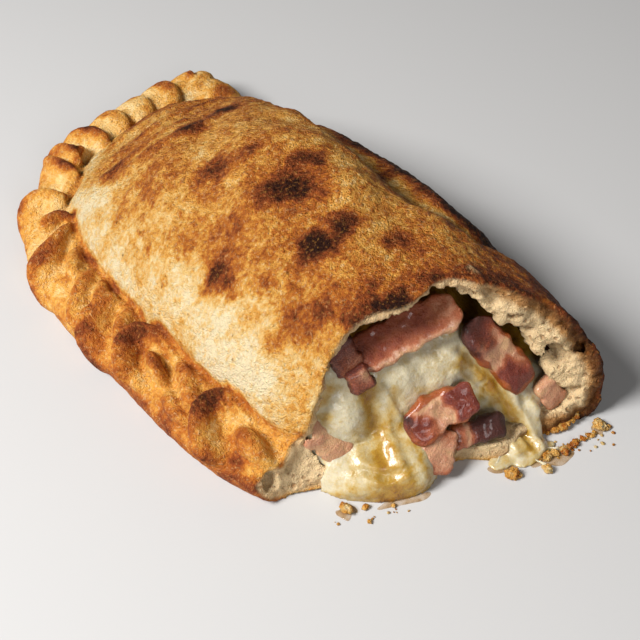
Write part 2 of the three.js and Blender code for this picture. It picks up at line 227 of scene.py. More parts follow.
# %% Plan of the edge
DOME_HEIGHT, CUT_HEIGHT = 58.0, 53.5
LEFT_EDGE, FOLD_EDGE, FAR_EDGE = -67.0, 49.0, 127.0
WAIST_Y, CORNER_X, CORNER_REACH = 30.0, 40.0, 14.0
EDGE_POWER, NEAR_REACH = 2.6, 130.0

edge_angles = np.linspace(0.84 * np.pi, -0.33 * np.pi, 1601)
edge_across = np.where(np.cos(edge_angles) > 0, CORNER_X - LEFT_EDGE, CORNER_REACH)
edge_along = np.where(np.sin(edge_angles) > 0, FAR_EDGE - WAIST_Y, NEAR_REACH)
edge_x = CORNER_X - edge_across * power(np.cos(edge_angles), 2 / EDGE_POWER)
edge_y = WAIST_Y + edge_along * power(np.sin(edge_angles), 2 / EDGE_POWER)
edge_mm = np.concatenate([[0], np.cumsum(np.hypot(np.diff(edge_x), np.diff(edge_y)))])
edge_mm -= np.interp(-0.8 * np.pi, -edge_angles, edge_mm)  # the folds are numbered from this place
edge_turn = np.unwrap(np.arctan2(np.gradient(edge_y), np.gradient(edge_x)))
even_mm = np.arange(edge_mm[0] - 15, edge_mm[-1] + 15, 0.5)
even_turn = np.convolve(np.interp(even_mm, edge_mm, edge_turn), np.ones(31) / 31, "same")
print(f"the crimped edge is {edge_mm[-1] - edge_mm[0]:.0f} mm long")


def edge_at(along):
    """Place on the edge's outer line, and the direction that points out of the loaf there."""
    foot = np.stack([np.interp(along, edge_mm, edge_x), np.interp(along, edge_mm, edge_y)], -1)
    turn = np.interp(along, even_mm, even_turn)
    return foot, np.stack([np.sin(turn), -np.cos(turn)], -1)


def edge_left(y):
    along = np.where(y > WAIST_Y, FAR_EDGE - WAIST_Y, NEAR_REACH)
    share = np.clip(np.abs(y - WAIST_Y) / along, 0, 1)
    return CORNER_X - (CORNER_X - LEFT_EDGE) * (1 - share**EDGE_POWER) ** (1 / EDGE_POWER)


def fold_right(y):
    return FOLD_EDGE - 12 * ((y - 15) / 100) ** 2


# %% [markdown]
# ## The folds of the rope
# The cook folds the edge over itself a fingertip at a time. Each fold is a flap that climbs from the
# outer foot, turns over at its crest and runs back along the loaf, so it looks like an arch that
# opens towards the cut. The far side of each flap is steep, because it lies on top of the next one,
# and its near side slopes away gently. Two rows of folds alternate: some crest near the outside, some
# near the dome. Inside the large arches there are small lobes, where a fingertip pressed the dough.

# %% Relief of the folds
ROPE_WIDTH, ROPE_HEIGHT, FOLD_RELIEF, GIRTH = 18.0, 15.0, 3.4, 36.0
FAR_FOLDS = [  # millimetres along the edge, where the crest lies round the rope, size
    (22, 0.42, 0.55),
    (36, 0.5, 0.35),
    (51, 0.42, 0.75),
    (64, 0.4, 0.4),
    (77, 0.42, 0.7),
    (91, 0.5, 0.95),
]
CRESTS = [  # size, then places along and round the rope that the crest runs through
    (0.95, [(116, -0.1), (108, 0.12), (105, 0.3), (107, 0.5), (111, 0.62)]),
    (1.0, [(113, 0.3), (116, 0.5), (119, 0.66), (124, 0.74), (131, 0.78)]),
    (0.9, [(142, -0.1), (137, 0.15), (134, 0.35), (134, 0.5), (137, 0.62)]),
    (1.05, [(151, 0.48), (148, 0.62), (150, 0.73), (157, 0.78), (166, 0.78), (175, 0.76)]),
    (1.1, [(176, -0.1), (170, 0.15), (167, 0.33), (163, 0.5), (158, 0.62), (154, 0.72)]),
    (1.0, [(180, 0.52), (173, 0.62), (170, 0.7), (176, 0.77), (188, 0.75)]),
    (0.9, [(197, 0.2), (192, 0.36), (187, 0.53), (184, 0.65)]),
    (1.05, [(199, 0.5), (193, 0.62), (191, 0.71), (197, 0.76), (204, 0.74), (210, 0.72)]),
    (1.1, [(209, -0.1), (204, 0.12), (201, 0.3), (199, 0.47), (199, 0.6)]),
    (0.9, [(220, 0.3), (213, 0.44), (209, 0.56), (208, 0.66)]),
    (1.45, [(224, 0.2), (218, 0.36), (216, 0.5), (219, 0.61), (226, 0.7), (235, 0.74), (243, 0.74)]),
    (0.8, [(249, 0.42), (243, 0.52), (243, 0.62), (248, 0.69), (254, 0.7)]),
    (1.5, [(262, 0.15), (256, 0.32), (253, 0.46), (256, 0.6), (263, 0.68), (272, 0.72), (280, 0.71)]),
    (1.0, [(296, 0.1), (288, 0.3), (285, 0.5), (288, 0.64), (296, 0.7)]),
]
FINGERS = [  # along, round, half length, half width, height, turned towards the outside
    (105, 0.5, 5.5, 3.2, 0.85, 0.5),
    (136, 0.62, 5.5, 3.4, 0.9, 0.6),
    (176, 0.6, 5.0, 3.0, 0.75, 0.4),
    (231, 0.45, 8.5, 3.3, 1.05, 0.35),
    (241, 0.57, 8.5, 3.3, 1.1, 0.35),
    (246, 0.3, 7.5, 5.0, 0.6, 0.2),
    (273, 0.42, 9.0, 4.2, 0.85, 0.4),
    (226, 0.22, 8.0, 5.0, 0.5, 0.3),
]
print(f"{len(FAR_FOLDS) + len(CRESTS)} folds and {len(FINGERS)} small lobes")

# %% [markdown]
# ## A roll of dough along a line
# Each fold is a rounded roll that follows its crest line. A few places give the line, and a curve
# through them rounds it. The roll falls away within a few millimetres on its far side and slowly on
# its near side, and a thin seam marks where the far side meets the dough under it.

# %% A roll along a line
FAR_WIDTH, ROLL_WIDTH = 2.8, 6.5  # the roll's reach on its steep far side and on its near side
HOLLOW = -0.7  # depth of the hollows between the rolls, where a roll's height is 1
SEAM_WIDTH = 0.7


def fold_path(start, crest):
    """The crest line of one of the plain folds round the far end."""
    path = [
        (12, -0.15),
        (mix(2, 6, crest), crest * 0.4),
        (0, crest),
        (2, mix(crest, 1, 0.45)),
        (mix(8, 5, crest), mix(crest, 1, 0.8)),
        (13, 0.93),
    ]
    return [(start + along, around) for along, around in path]


def smooth_path(path, count=5):
    """A rounded line through the given places."""
    ends = [path[0], *path, path[-1]]
    t = np.arange(count) / count
    line = []
    for p0, p1, p2, p3 in zip(ends, ends[1:], ends[2:], ends[3:]):
        p0, p1, p2, p3 = map(np.array, (p0, p1, p2, p3))
        for k in t:
            curve = (2 * p0 - 5 * p1 + 4 * p2 - p3) * k**2 + (3 * p1 - p0 - 3 * p2 + p3) * k**3
            line.append(0.5 * (2 * p1 + (p2 - p0) * k + curve))
    return [*line, np.array(path[-1], float)]


def ridge(along, around, path):
    """Height of a roll of dough that follows a path, steep on its far side, and the seam there."""
    line = [(place[0], place[1] * GIRTH) for place in path]
    up = around * GIRTH
    away = np.full(along.shape, 99.0)
    near = np.zeros(along.shape, bool)
    for start, end in zip(line, line[1:]):
        gap, _ = off_stretch(along, up, start, end)
        side = (along - start[0]) * (end[1] - start[1]) - (up - start[1]) * (end[0] - start[0])
        closer = gap < away
        away = np.where(closer, gap, away)
        near = np.where(closer, side > 0, near)
    share = np.minimum(1, away / np.where(near, ROLL_WIDTH, FAR_WIDTH))
    seam = np.where(near, 0, np.exp(-(((away - FAR_WIDTH - 0.2) / SEAM_WIDTH) ** 2)))
    return mix(HOLLOW, 1, (1 - share**2) ** np.where(near, 1.1, 0.75)), seam


# %% [markdown]
# ## All the rolls together
# Where two rolls overlap, the higher one hides the other. The seam of a roll only shows where that
# roll is on top. The small lobes are squashed balls that rise out of the hollows.

# %% Relief of the whole rope
def rope_relief(along, around):
    """Height of the folds, from the hollows to 1 or a little more, and how near a seam each point is."""
    along, around = np.broadcast_arrays(along, around)
    height = np.full(along.shape, HOLLOW)
    seams = np.zeros(along.shape)
    folds = [(size, fold_path(start, crest)) for start, crest, size in FAR_FOLDS] + CRESTS
    for size, path in folds:
        path = smooth_path(path)
        first = min(p[0] for p in path) - 3
        last = max(p[0] for p in path) + ROLL_WIDTH
        close = (along[:, 0] > first) & (along[:, 0] < last)
        part, seam = ridge(along[close], around[close], path)
        part = np.where(part > 0, size * part, part)
        on_top = part > height[close] - 0.6
        seams[close] = np.where(on_top, np.maximum(seams[close], seam), seams[close])
        height[close] = np.maximum(height[close], part)
    for start, crest, long, wide, size, slant in FINGERS:
        dx, dy = along - start, (around - crest) * GIRTH
        ahead = dx * math.cos(slant) - dy * math.sin(slant)
        aside = dx * math.sin(slant) + dy * math.cos(slant)
        lobe = np.clip(1 - (ahead / long) ** 2 - (aside / wide) ** 2, 0, 1) ** 0.8
        height = np.maximum(height, mix(HOLLOW, size, lobe))
    return height, seams * ramp(-0.1, 0.15, around) * ramp(0.9, 0.75, around)


# %% [markdown]
# ## The rope of dough
# The rope is a round roll that follows the edge, raised where the folds are. Its lower half sinks
# below the table, and trimming it there later gives the flat, wide foot of dough that has slumped in
# the oven.

# %% The rope's rings
UNDERCUT = 0.32  # how far the roll goes on below its widest place, in half turns
SEAM_DEPTH = 1.2


def rope_rings(steps, sides):
    """Sections of the rope, with each point's place along and round it, its fold's height and its seam."""
    along = np.linspace(edge_mm[0], edge_mm[-1], steps)[:, None]
    turn = np.linspace(-UNDERCUT, 1 + UNDERCUT, sides)[None, :] * np.pi
    foot, out = edge_at(along[:, 0])
    taper = mix(0.7, 1, ramp(-4, 16, along))  # the rope thins out where it starts
    flare = 1.5 * ramp(110, 160, along) + 4.5 * ramp(215, 278, along)  # its foot spreads near the cut
    half, middle = ROPE_WIDTH / 2 * taper + flare / 2, ROPE_HEIGHT / 2 * taper
    fade = mix(0.25, 1, ramp(-0.15, 0.3, turn / np.pi))  # the folds are shallow near the table,
    fade = fade * mix(0.1, 0.5, ramp(6, 40, along)) * mix(1, 2, ramp(80, 105, along))  # and far away
    folds, seams = rope_relief(along, turn / np.pi)
    relief = FOLD_RELIEF * taper * fade * folds - SEAM_DEPTH * seams
    centre = foot - out * (ROPE_WIDTH / 2 + 0.6 * FOLD_RELIEF - flare / 2)
    reach = np.cos(turn) * (half + relief)
    deep = np.where(np.sin(turn) < 0, 1.3 * middle, middle)
    place = centre[:, None, :] + out[:, None, :] * reach[..., None]
    rings = np.concatenate([place, (middle + np.sin(turn) * (deep + relief))[..., None]], -1)
    return rings, along + 0 * turn, turn / np.pi + 0 * along, folds, seams


rope_grid, rope_along, rope_round, rope_folds, rope_seams = rope_rings(900, 72)
rope = solid_from_rings("rope", rope_grid)
print(f"rope: {len(rope.data.vertices)} points")

# %% [markdown]
# ## The dome
# The risen top is a row of arches from the near end to the far end. Each arch has a ridge that
# wanders a little, its own reach to the left and right, and a height that falls away towards the far
# end. On the folded side a long crease parts a lower roll of dough from the dome, and where the oven
# was hottest the skin has puffed up in blisters.

# %% The dome's sections
CRUST_LEFT, CRUST_RIGHT, CRUST_TOP, CRUST_BASE, CRUST_SHOULDER = 5.2, 9.5, 4.2, 4.8, 5.5
FOLD_Z, EDGE_Z, BASE_TRIM = 13.0, 5.0, 3.0
DOME_NEAR, DOME_FAR, DOME_SHOULDER, DOME_FALL = -100.0, 113.0, -5.0, 0.86


def section(y):
    """The arch at one place along the loaf: its ridge, its reach to each side, its height and shape."""
    far = np.clip((y - DOME_SHOULDER) / (DOME_FAR - DOME_SHOULDER), 0, 1)
    near = ramp(20, -75, y)
    ridge_x = mix(mix(0, -5, near), 16, far**2)
    return {
        "ridge_x": ridge_x,
        "left": ridge_x - edge_left(y) - mix(15, 8.5, near),
        "right": fold_right(y) - ridge_x,
        "height": mix(DOME_HEIGHT, CUT_HEIGHT, near) * (1 - DOME_FALL * far**2),
        "left_power": mix(1.75, 2, near),
        "right_power": 1.7 + 0.2 * near + 0.3 * far,
    }


def arch_point(at, turn, side_in, top_in, lowest):
    right = np.cos(turn) > 0
    squareness = 2 / np.where(right, at["right_power"], at["left_power"])
    side_z = np.maximum(lowest, np.minimum(np.where(right, FOLD_Z, EDGE_Z), at["height"] / 2))
    reach = np.where(right, at["right"], at["left"]) - side_in
    x = at["ridge_x"] + reach * power(np.cos(turn), squareness)
    rise = np.maximum(0.5, at["height"] - top_in - side_z)
    return x, side_z + rise * power(np.sin(turn), squareness)


# %% [markdown]
# ## Relief of the dome
# Blisters are low round swellings. Across the far end the dough sagged into long soft folds, and on
# the folded side one deep groove runs the length of the loaf. All of them are given as they are seen
# from above.

# %% Blisters, folds and groove
GROOVE = [(44, 96), (38, 62), (33, 34), (27, 6), (24, -18), (31, -34), (46, -44)]
GROOVE_LINE = np.array(sorted((y, x) for x, y in GROOVE)).T  # y and x, for reading x at any y
GROOVE_DEPTH, GROOVE_REACH = 5.5, 10
BLISTERS = [  # x, y, radius, height
    (8, 22, 14, 2.2),
    (22, 42, 9, 1.8),
    (6, -8, 11, 1.8),
    (-19, 8, 9, 1.5),
    (26, -26, 8, 1.5),
    (-4, 62, 9, 1.4),
    (18, 92, 9, 1.4),
]
FAR_CREASES = [  # long soft folds across the far end: size, how brown, then places
    (1.5, 0.2, [(-2, 101), (8, 101), (18, 101), (30, 99)]),
    (1.6, 0.05, [(-12, 95), (-4, 92), (4, 90), (14, 86), (24, 82)]),
    (1.5, 0.12, [(-23, 82), (-15, 80), (-5, 79), (7, 78), (20, 76)]),
    (1.2, 0.16, [(-28, 74), (-20, 71), (-10, 69), (0, 68)]),
    (1.2, 0.2, [(-25, 66), (-18, 63), (-11, 60), (-3, 58), (9, 60)]),
]


def dome_relief(x, y):
    """How far the skin stands out of the plain arches."""
    height = 0.9 * np.sin(x / 9 + 1.3) * np.sin(y / 13 + 0.4)  # broad, uneven rising
    height = height + 0.6 * np.sin(x / 5.1 - y / 7.3)
    for cx, cy, r, lift in BLISTERS:
        height = height + lift * hump(x, y, cx, cy, r, r)
    for size, _, path in FAR_CREASES:
        height = height + size * np.exp(-((away_from(path, x, y) / 2.6) ** 2))
    groove = 1 - ramp(0, GROOVE_REACH, away_from(GROOVE, x, y))
    return height - GROOVE_DEPTH * groove * ramp(104, 70, y)


# %% [markdown]
# ## The dome's rings
# Each ring is an arch with its relief on top and a flat, round-cornered base a little below the
# table, so that trimming it there leaves a flat base.

# %% Solid dome
def dome_rings(steps, top, base):
    share = np.linspace(0, 1, steps)[:, None]
    y = mix(DOME_NEAR, DOME_FAR - 0.5, 1 - (1 - share) ** 1.15)
    at = section(y)
    turn = np.linspace(0, 1, top)[None, :] * np.pi
    x, z = arch_point(at, turn, 0, 0, 0)
    z = z + dome_relief(x, y) * ramp(0.05, 0.5, np.sin(turn))
    upper = np.stack([x, y + 0 * x, z], -1)
    turn = np.pi * (1 + (np.arange(base)[None, :] + 1) / (base + 1))
    right = np.cos(turn) > 0
    side_z = np.minimum(np.where(right, FOLD_Z, EDGE_Z), at["height"] / 2)
    x = at["ridge_x"] + np.where(right, at["right"], at["left"]) * power(np.cos(turn), 0.45)
    z = side_z - (side_z + BASE_TRIM) * np.abs(np.sin(turn)) ** 0.5
    return np.concatenate([upper, np.stack([x, y + 0 * x, z], -1)], 1)


dome = solid_from_rings("dome", dome_rings(230, 150, 60))
print(f"dome: {len(dome.data.vertices)} points")

# %% [markdown]
# ## The hollow and the cut
# The filling sits in a hollow that follows the dome at the thickness of the dough. The knife went
# through at an angle and the soft bread tore a little, so the cut is not a flat plane but a gently
# waving sheet that leans back with height. Everything in front of it is taken away.

# %% The hollow
CAVITY_END, CAVITY_SHOULDER, FLOOR_ROUND = 96.0, 40.0, 5.0
CUT_LEFT, CUT_RIGHT, CUT_LEAN = np.array([-51.0, -47.0]), np.array([32.0, -81.0]), 0.28
CUT_LENGTH = float(np.linalg.norm(CUT_RIGHT - CUT_LEFT))
cut_along = (CUT_RIGHT - CUT_LEFT) / CUT_LENGTH
cut_inward = np.array([-cut_along[1], cut_along[0]])


def cavity_rings(steps, points, margin):
    """Sections of the hollow, made smaller all round by the margin."""
    y = np.linspace(DOME_NEAR - 5, CAVITY_END - margin - 0.5, steps)[:, None]
    at = section(y)
    far = np.clip((y - CAVITY_SHOULDER) / (CAVITY_END - margin - CAVITY_SHOULDER), 0, 1)
    close = np.sqrt(1 - far**3)
    turn = np.arange(points)[None, :] / points * 2 * np.pi
    right = np.cos(turn) > 0
    mouth = ramp(-30, -45, y)  # the torn dough is thinner round the mouth, on the left and on top
    wall = np.where(right, CRUST_RIGHT, CRUST_LEFT - 1.2 * mouth) + margin
    floor_z = CRUST_BASE + margin
    side_z = floor_z + FLOOR_ROUND
    shoulder = np.where(right, CRUST_SHOULDER * ramp(0.15, 0.7, np.cos(turn)), 0)
    top_in = CRUST_TOP - 1.4 * mouth + shoulder + margin
    top_x, top_z = arch_point(at, turn, wall, top_in, side_z)
    side_x, side_top = arch_point(at, np.where(right, 0, np.pi), wall, 0, side_z)
    low_x = mix(at["ridge_x"], side_x, np.abs(np.cos(turn)) ** 0.5)
    low_z = side_top - (side_top - floor_z) * np.abs(np.sin(turn)) ** 0.5
    upper = np.sin(turn) > 0
    x = np.where(upper, top_x, low_x)
    z = np.where(upper, top_z, low_z)
    middle_z = np.minimum(at["height"] / 2, floor_z + 2 * FLOOR_ROUND)
    return np.stack([mix(at["ridge_x"], x, close), y + 0 * x, mix(middle_z, z, close)], -1)


# %% [markdown]
# ## The cut
# Much of what shows lies at the cut, so it has a frame of its own: millimetres along it from left to
# right, inwards into the food, and up. The waves in the cut are the marks of a knife that tugged, and
# at the middle the base crust stands out a little as a lip.

# %% The cut's frame and surface
LIP_PLACE, LIP_REACH, LIP_OUT = 56, 10, 4.5


def from_cut(along, inward, z):
    along, inward, z = np.broadcast_arrays(along, inward, z)
    flat = CUT_LEFT + along[..., None] * cut_along + inward[..., None] * cut_inward
    return np.concatenate([flat, z[..., None]], -1)


def to_cut(points):
    flat = points[:, :2] - CUT_LEFT
    return flat @ cut_along, flat @ cut_inward, points[:, 2]


def tear(along, z):
    """How far the cut runs into the food at a place on it."""
    wave = 1.1 * np.sin(along / 6.2 + z / 9) + 0.8 * np.sin(along / 2.9 - z / 5 + 2)
    lip = LIP_OUT * np.exp(-(((along - LIP_PLACE) / LIP_REACH) ** 2)) * ramp(9, 5, z)
    return CUT_LEAN * z + wave - 1.2 - lip


def front_rings(steps, levels, margin):
    """Everything in front of the cut, up to the margin away from it."""
    along = np.linspace(-45, CUT_LENGTH + 50, steps)[:, None]
    z = np.linspace(-BASE_TRIM, 75, levels)[None, :]
    face = from_cut(along, tear(along, np.maximum(z, 0)) - margin, z)
    back = from_cut(along, -70, np.array([[75.0, -BASE_TRIM]]))
    return np.concatenate([face, back], 1)


def box_solid(name, low, high):
    corners = np.array([[low[0], low[2]], [high[0], low[2]], [high[0], high[2]], [low[0], high[2]]])
    rings = [[(x, y, z) for x, z in corners] for y in (low[1], high[1])]
    return solid_from_rings(name, np.array(rings, float))


def trim_at_table(piece):
    """Takes away everything below the table."""
    under = box_solid("under_table", (-150, -200, -40), (150, 200, 0))
    return combine(piece, under, "DIFFERENCE")


# %% [markdown]
# ## Open crumb
# Bread is a foam. Where it is cut or torn, its bubbles show as round pits, and on the thick right
# side the damp crumb hangs in lumps over the filling. Lumps and bubbles are squashed balls, scattered
# with a seeded draw, with a few listed where a large one shows. Many balls overlap, so each
# set is skinned once into a single solid before it is joined to the bread or cut from it.

# %% Squashed balls
def piece_from(shell, name):
    """An object from a finished bmesh."""
    mesh = bpy.data.meshes.new(name)
    shell.to_mesh(mesh)
    shell.free()
    return add_piece(name, mesh)


def balls(name, places, skin):
    """One solid from many squashed balls. Each place is a middle and three radii, in millimetres."""
    shell = bmesh.new()
    for place in places:
        middle, radii = place[:3], place[3:]
        spread = Matrix.Translation(to_part([middle])[0]) @ Matrix.Diagonal((*[r * MM for r in radii], 1))
        bmesh.ops.create_icosphere(shell, subdivisions=3, radius=1, matrix=spread)
    return remesh(piece_from(shell, name), skin)


def ball_places(rows):
    """Turns places in the cut's frame into places in the loaf's. The radii after them stay as they are."""
    return [(*from_cut(*row[:3]), *row[3:]) for row in rows]


def wall_place(rise, inset, back):
    """A place in the wall at the cut: how far over the arch, how deep in the dough, how far back."""
    x, y, z = 0.0, -60.0, 20.0
    for _ in range(8):
        x, z = arch_point(section(np.array(y)), np.array(rise * np.pi), inset, inset, 0)
        behind = back + CUT_LEAN * z
        along = (x - CUT_LEFT[0] - behind * cut_inward[0]) / cut_along[0]
        y = CUT_LEFT[1] + along * cut_along[1] + behind * cut_inward[1]
    return float(x), float(y), float(z)


# %% [markdown]
# ## Damp lumps
# Under the thick shoulder of the crust the damp crumb sags in a row of lumps, like a fringe over the
# filling, and smaller lumps line the wall below.

# %% Lumps of crumb
HANGING = np.array(
    [  # along the cut, inward, height: where the damp crumb hangs lowest
        (55, 15, 49.5),
        (60, 13.5, 45),
        (63.5, 13, 42),
        (67, 12, 39),
        (71, 11, 35.5),
        (75, 10, 31.5),
        (79, 8.5, 27),
    ]
)
LUMP_SKIN, BUBBLE_SKIN = 0.8, 0.5  # size of the squares in each skin, in millimetres


def crumb_lumps():
    places = []
    for share in np.linspace(0, 1, 22):
        at = [np.interp(share * 6, np.arange(7), HANGING[:, k]) for k in range(3)]
        for lift in (0.0, 3.0):
            drift = dice.uniform(-1, 1, 3) * (1.2, 1.5, 1.0) + (0.8 * lift, 1.5, lift)
            place = from_cut(*(at + drift))
            places.append((*place, *(dice.uniform(1.5, 2.7) * dice.uniform(0.8, 1.25, 3))))
    for rise in np.linspace(0.02, 0.36, 26):
        thin = float(ramp(0.2, 0.36, rise))
        inset = mix(11.0, 6.0, thin) + dice.uniform(-1.2, 1.4)
        size = dice.uniform(1.8, 3.4) * mix(1, 0.55, thin)
        for back in (1.0, 4.5):
            x, y, z = wall_place(rise, inset + dice.uniform(-1, 1), back + dice.uniform(-1, 1))
            squash = dice.uniform(0.75, 1.2, 3)
            places.append((x, y, max(z, 7.5), *(size * squash)))
    return balls("crumb_lumps", places, LUMP_SKIN)


# %% [markdown]
# ## Bubbles and a split
# Most bubbles are small and near the cut, so that each shows as a pit. The larger ones are listed one
# by one. On the right the crust has come away from the crumb, which is a row of bubbles in a line.

# %% Air bubbles
BIG_BUBBLES = [  # along the cut, inward, height, then three radii
    (-4.6, 0.8, 7.4, 2.2, 4.5, 3.4),
    (1.6, 2.6, 8.6, 1.3, 2.5, 1.5),
    (86.5, 3.5, 12.0, 1.4, 3.0, 1.8),
    (84.0, 7.0, 24.0, 1.5, 3.0, 2.2),
    (78.5, 9.5, 32.5, 1.8, 3.0, 1.5),
    (78.8, 10.0, 24.0, 3.4, 9.0, 5.6),
    (70.5, 12.0, 33.5, 2.6, 7.0, 2.0),
]


def air_bubbles():
    places = ball_places(BIG_BUBBLES)
    for _ in range(170):
        rise = dice.uniform(0.0, 0.97)
        right = rise < 0.45
        inset = dice.uniform(2.6, 8.5) if right else dice.uniform(2.2, 4.0)
        x, y, z = wall_place(rise, inset, dice.uniform(-0.3, 1.0))
        if rise < 0.06 or rise > 0.93:
            z = dice.uniform(2.0, 11.0)
        size = 0.6 + 1.3 * dice.uniform() ** 2
        places.append((x, y, z, size, size * 1.3, size * dice.uniform(0.6, 1.0)))
    for rise in np.arange(0.05, 0.44, 0.022):  # the long split
        if dice.uniform() < 0.7:
            x, y, z = wall_place(rise, dice.uniform(3.2, 4.4), 0.6)
            places.append((x, y, z, 1.5, 2.6, 1.3))
    return balls("air_bubbles", places, BUBBLE_SKIN)


# %% [markdown]
# ## One skin of dough
# The dome and the rope are joined, trimmed flat at the table, hollowed and cut. The result has sharp
# joints that bread never has, so it is skinned again with small even squares. That rounds each joint
# a little and gives the next steps a fine, regular mesh to work on.

# %% Join, trim, hollow and cut
CRUST_SKIN = 0.8  # size of the squares in the skin, in millimetres
graph = bpy.context.evaluated_depsgraph_get()
dome_skin = bvhtree.BVHTree.FromObject(dome, graph)
rope_skin = bvhtree.BVHTree.FromObject(rope, graph)
crust = trim_at_table(combine(dome, rope, "UNION"))
crust.name = "crust_dough"
loaf_skin = bvhtree.BVHTree.FromObject(crust, bpy.context.evaluated_depsgraph_get())
combine(crust, solid_from_rings("hollow", cavity_rings(120, 90, 0)), "DIFFERENCE")
combine(crust, crumb_lumps(), "UNION")
combine(crust, solid_from_rings("front", front_rings(240, 100, 0)), "DIFFERENCE")
combine(crust, air_bubbles(), "DIFFERENCE")
print(f"cut crust: {len(crust.data.vertices)} points")
remesh(crust, CRUST_SKIN)
print(f"even skin: {len(crust.data.vertices)} points")
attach(crust, "root")
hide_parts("crust")

# %% [markdown]
# ## Spending points where they show
# An even skin puts as many points under the loaf and deep in its hollow as on the crust that is
# seen. A vertex group marks those hidden parts, and the Decimate modifier merges faces only there.

# %% Thin out what is hidden
THINNED = 0.9  # share of the hidden points that goes
CRUST_SEEN_IN = 30  # how far into the food the hollow is still seen, in millimetres


def depth_under(skin, points):
    """How far each point lies from a surface."""
    found = [skin.find_nearest(Vector(p))[3] for p in to_part(points).tolist()]
    return np.array(found) / MM


def thin_out(piece, hidden):
    """Merges faces among the hidden points."""
    group = piece.vertex_groups.new(name="hidden")
    group.add(np.flatnonzero(hidden).tolist(), 1.0, "REPLACE")
    change = piece.modifiers.new("thin out", "DECIMATE")
    change.ratio = 1 - THINNED * np.mean(hidden)
    change.vertex_group = "hidden"
    settle(piece)
    piece.vertex_groups.clear()


even_points = mesh_points(crust)
inward = to_cut(even_points)[1]
inside = (depth_under(loaf_skin, even_points) > 2.0) & (inward > CRUST_SEEN_IN)
hidden = inside | (even_points[:, 2] < 0.4)
thin_out(crust, hidden)
crust.data.shade_smooth()
print(f"hidden share {hidden.mean():.2f}, left: {len(crust.data.vertices)} points")

# %% [markdown]
# ## Knowing where each point lies
# Colour and texture of a crust depend on place: the skin browns, the crumb under it stays pale, the
# crests of the rope catch the heat and its valleys do not. So every point of the skin is told how
# deep it lies under the loaf's outer surface, and where it is along and round the rope.

# %% Depth under the skin and place on the rope
skin_points = mesh_points(crust)
depth = depth_under(loaf_skin, skin_points)
rope_places = rope_grid[::2, ::2].reshape(-1, 3).tolist()
rope_tree = kdtree.KDTree(len(rope_places))
for index, place in enumerate(rope_places):
    rope_tree.insert(place, index)
rope_tree.balance()
nearest = [rope_tree.find(p)[1:] for p in skin_points.tolist()]
rope_index = np.array([n[0] for n in nearest])
rope_away = np.array([n[1] for n in nearest])
point_along, point_round, point_folds, point_seams = [
    grid[::2, ::2].ravel()[rope_index] for grid in (rope_along, rope_round, rope_folds, rope_seams)
]
off_both = np.maximum(depth_under(dome_skin, skin_points), depth_under(rope_skin, skin_points))
seam = np.exp(-(off_both**2)) * ramp(3, 6, skin_points[:, 2])  # 1 where the dome and the rope meet
on_rope = 1 - ramp(0.6, 3.0, rope_away)
thick_side = ramp(0, 30, skin_points[:, 0])
on_skin = 1 - ramp(0.4, mix(1.2, 2.6, thick_side), depth)
print(f"on the rope: {on_rope.mean():.2f}, on the skin: {on_skin.mean():.2f}")

# %% [markdown]
# ## Wrinkles and torn crumb
# The points of the skin are now moved along their normals by smooth noise: gently on the outside,
# where the crust has wrinkled, and more on the torn crumb.

# %% Wrinkle the skin and tear the crumb
inward = to_cut(skin_points)[1]
torn = (1 - on_skin) * (1 - ramp(18, 28, inward))
wrinkle = 0.3 * ripple(skin_points, 5.5, 3, 1) + 0.2 * ripple(skin_points, 1.9, 2, 7)
wrinkle += 0.55 * (0.3 - np.abs(ripple(skin_points, 5.0, 3, 15)))  # folded creases
rough = mix(0.6, 1.2, thick_side) * ripple(skin_points, 3.6, 3, 3)  # the damp side tore into lumps
rough += 0.35 * ripple(skin_points, 1.6, 2, 9)
move = wrinkle * on_skin * mix(1.0, 0.5, on_rope) + rough * torn
move -= 1.1 * seam * on_skin  # the rope lies on the dome with a crisp seam under it
move *= ramp(0.2, 2.0, skin_points[:, 2])  # the base stays flat
skin_points = skin_points + mesh_normals(crust) * move[:, None]
skin_points[:, 2] = np.maximum(skin_points[:, 2], 0)
move_points(crust, skin_points)

# %% [markdown]
# ## Browning
# A number from 0, raw and pale, to 1, charred, is kept for each point. The dome is golden on top and
# pale where it meets the rope, and its blisters are nearly black. On the rope the crests are brown
# and the valleys are pale.

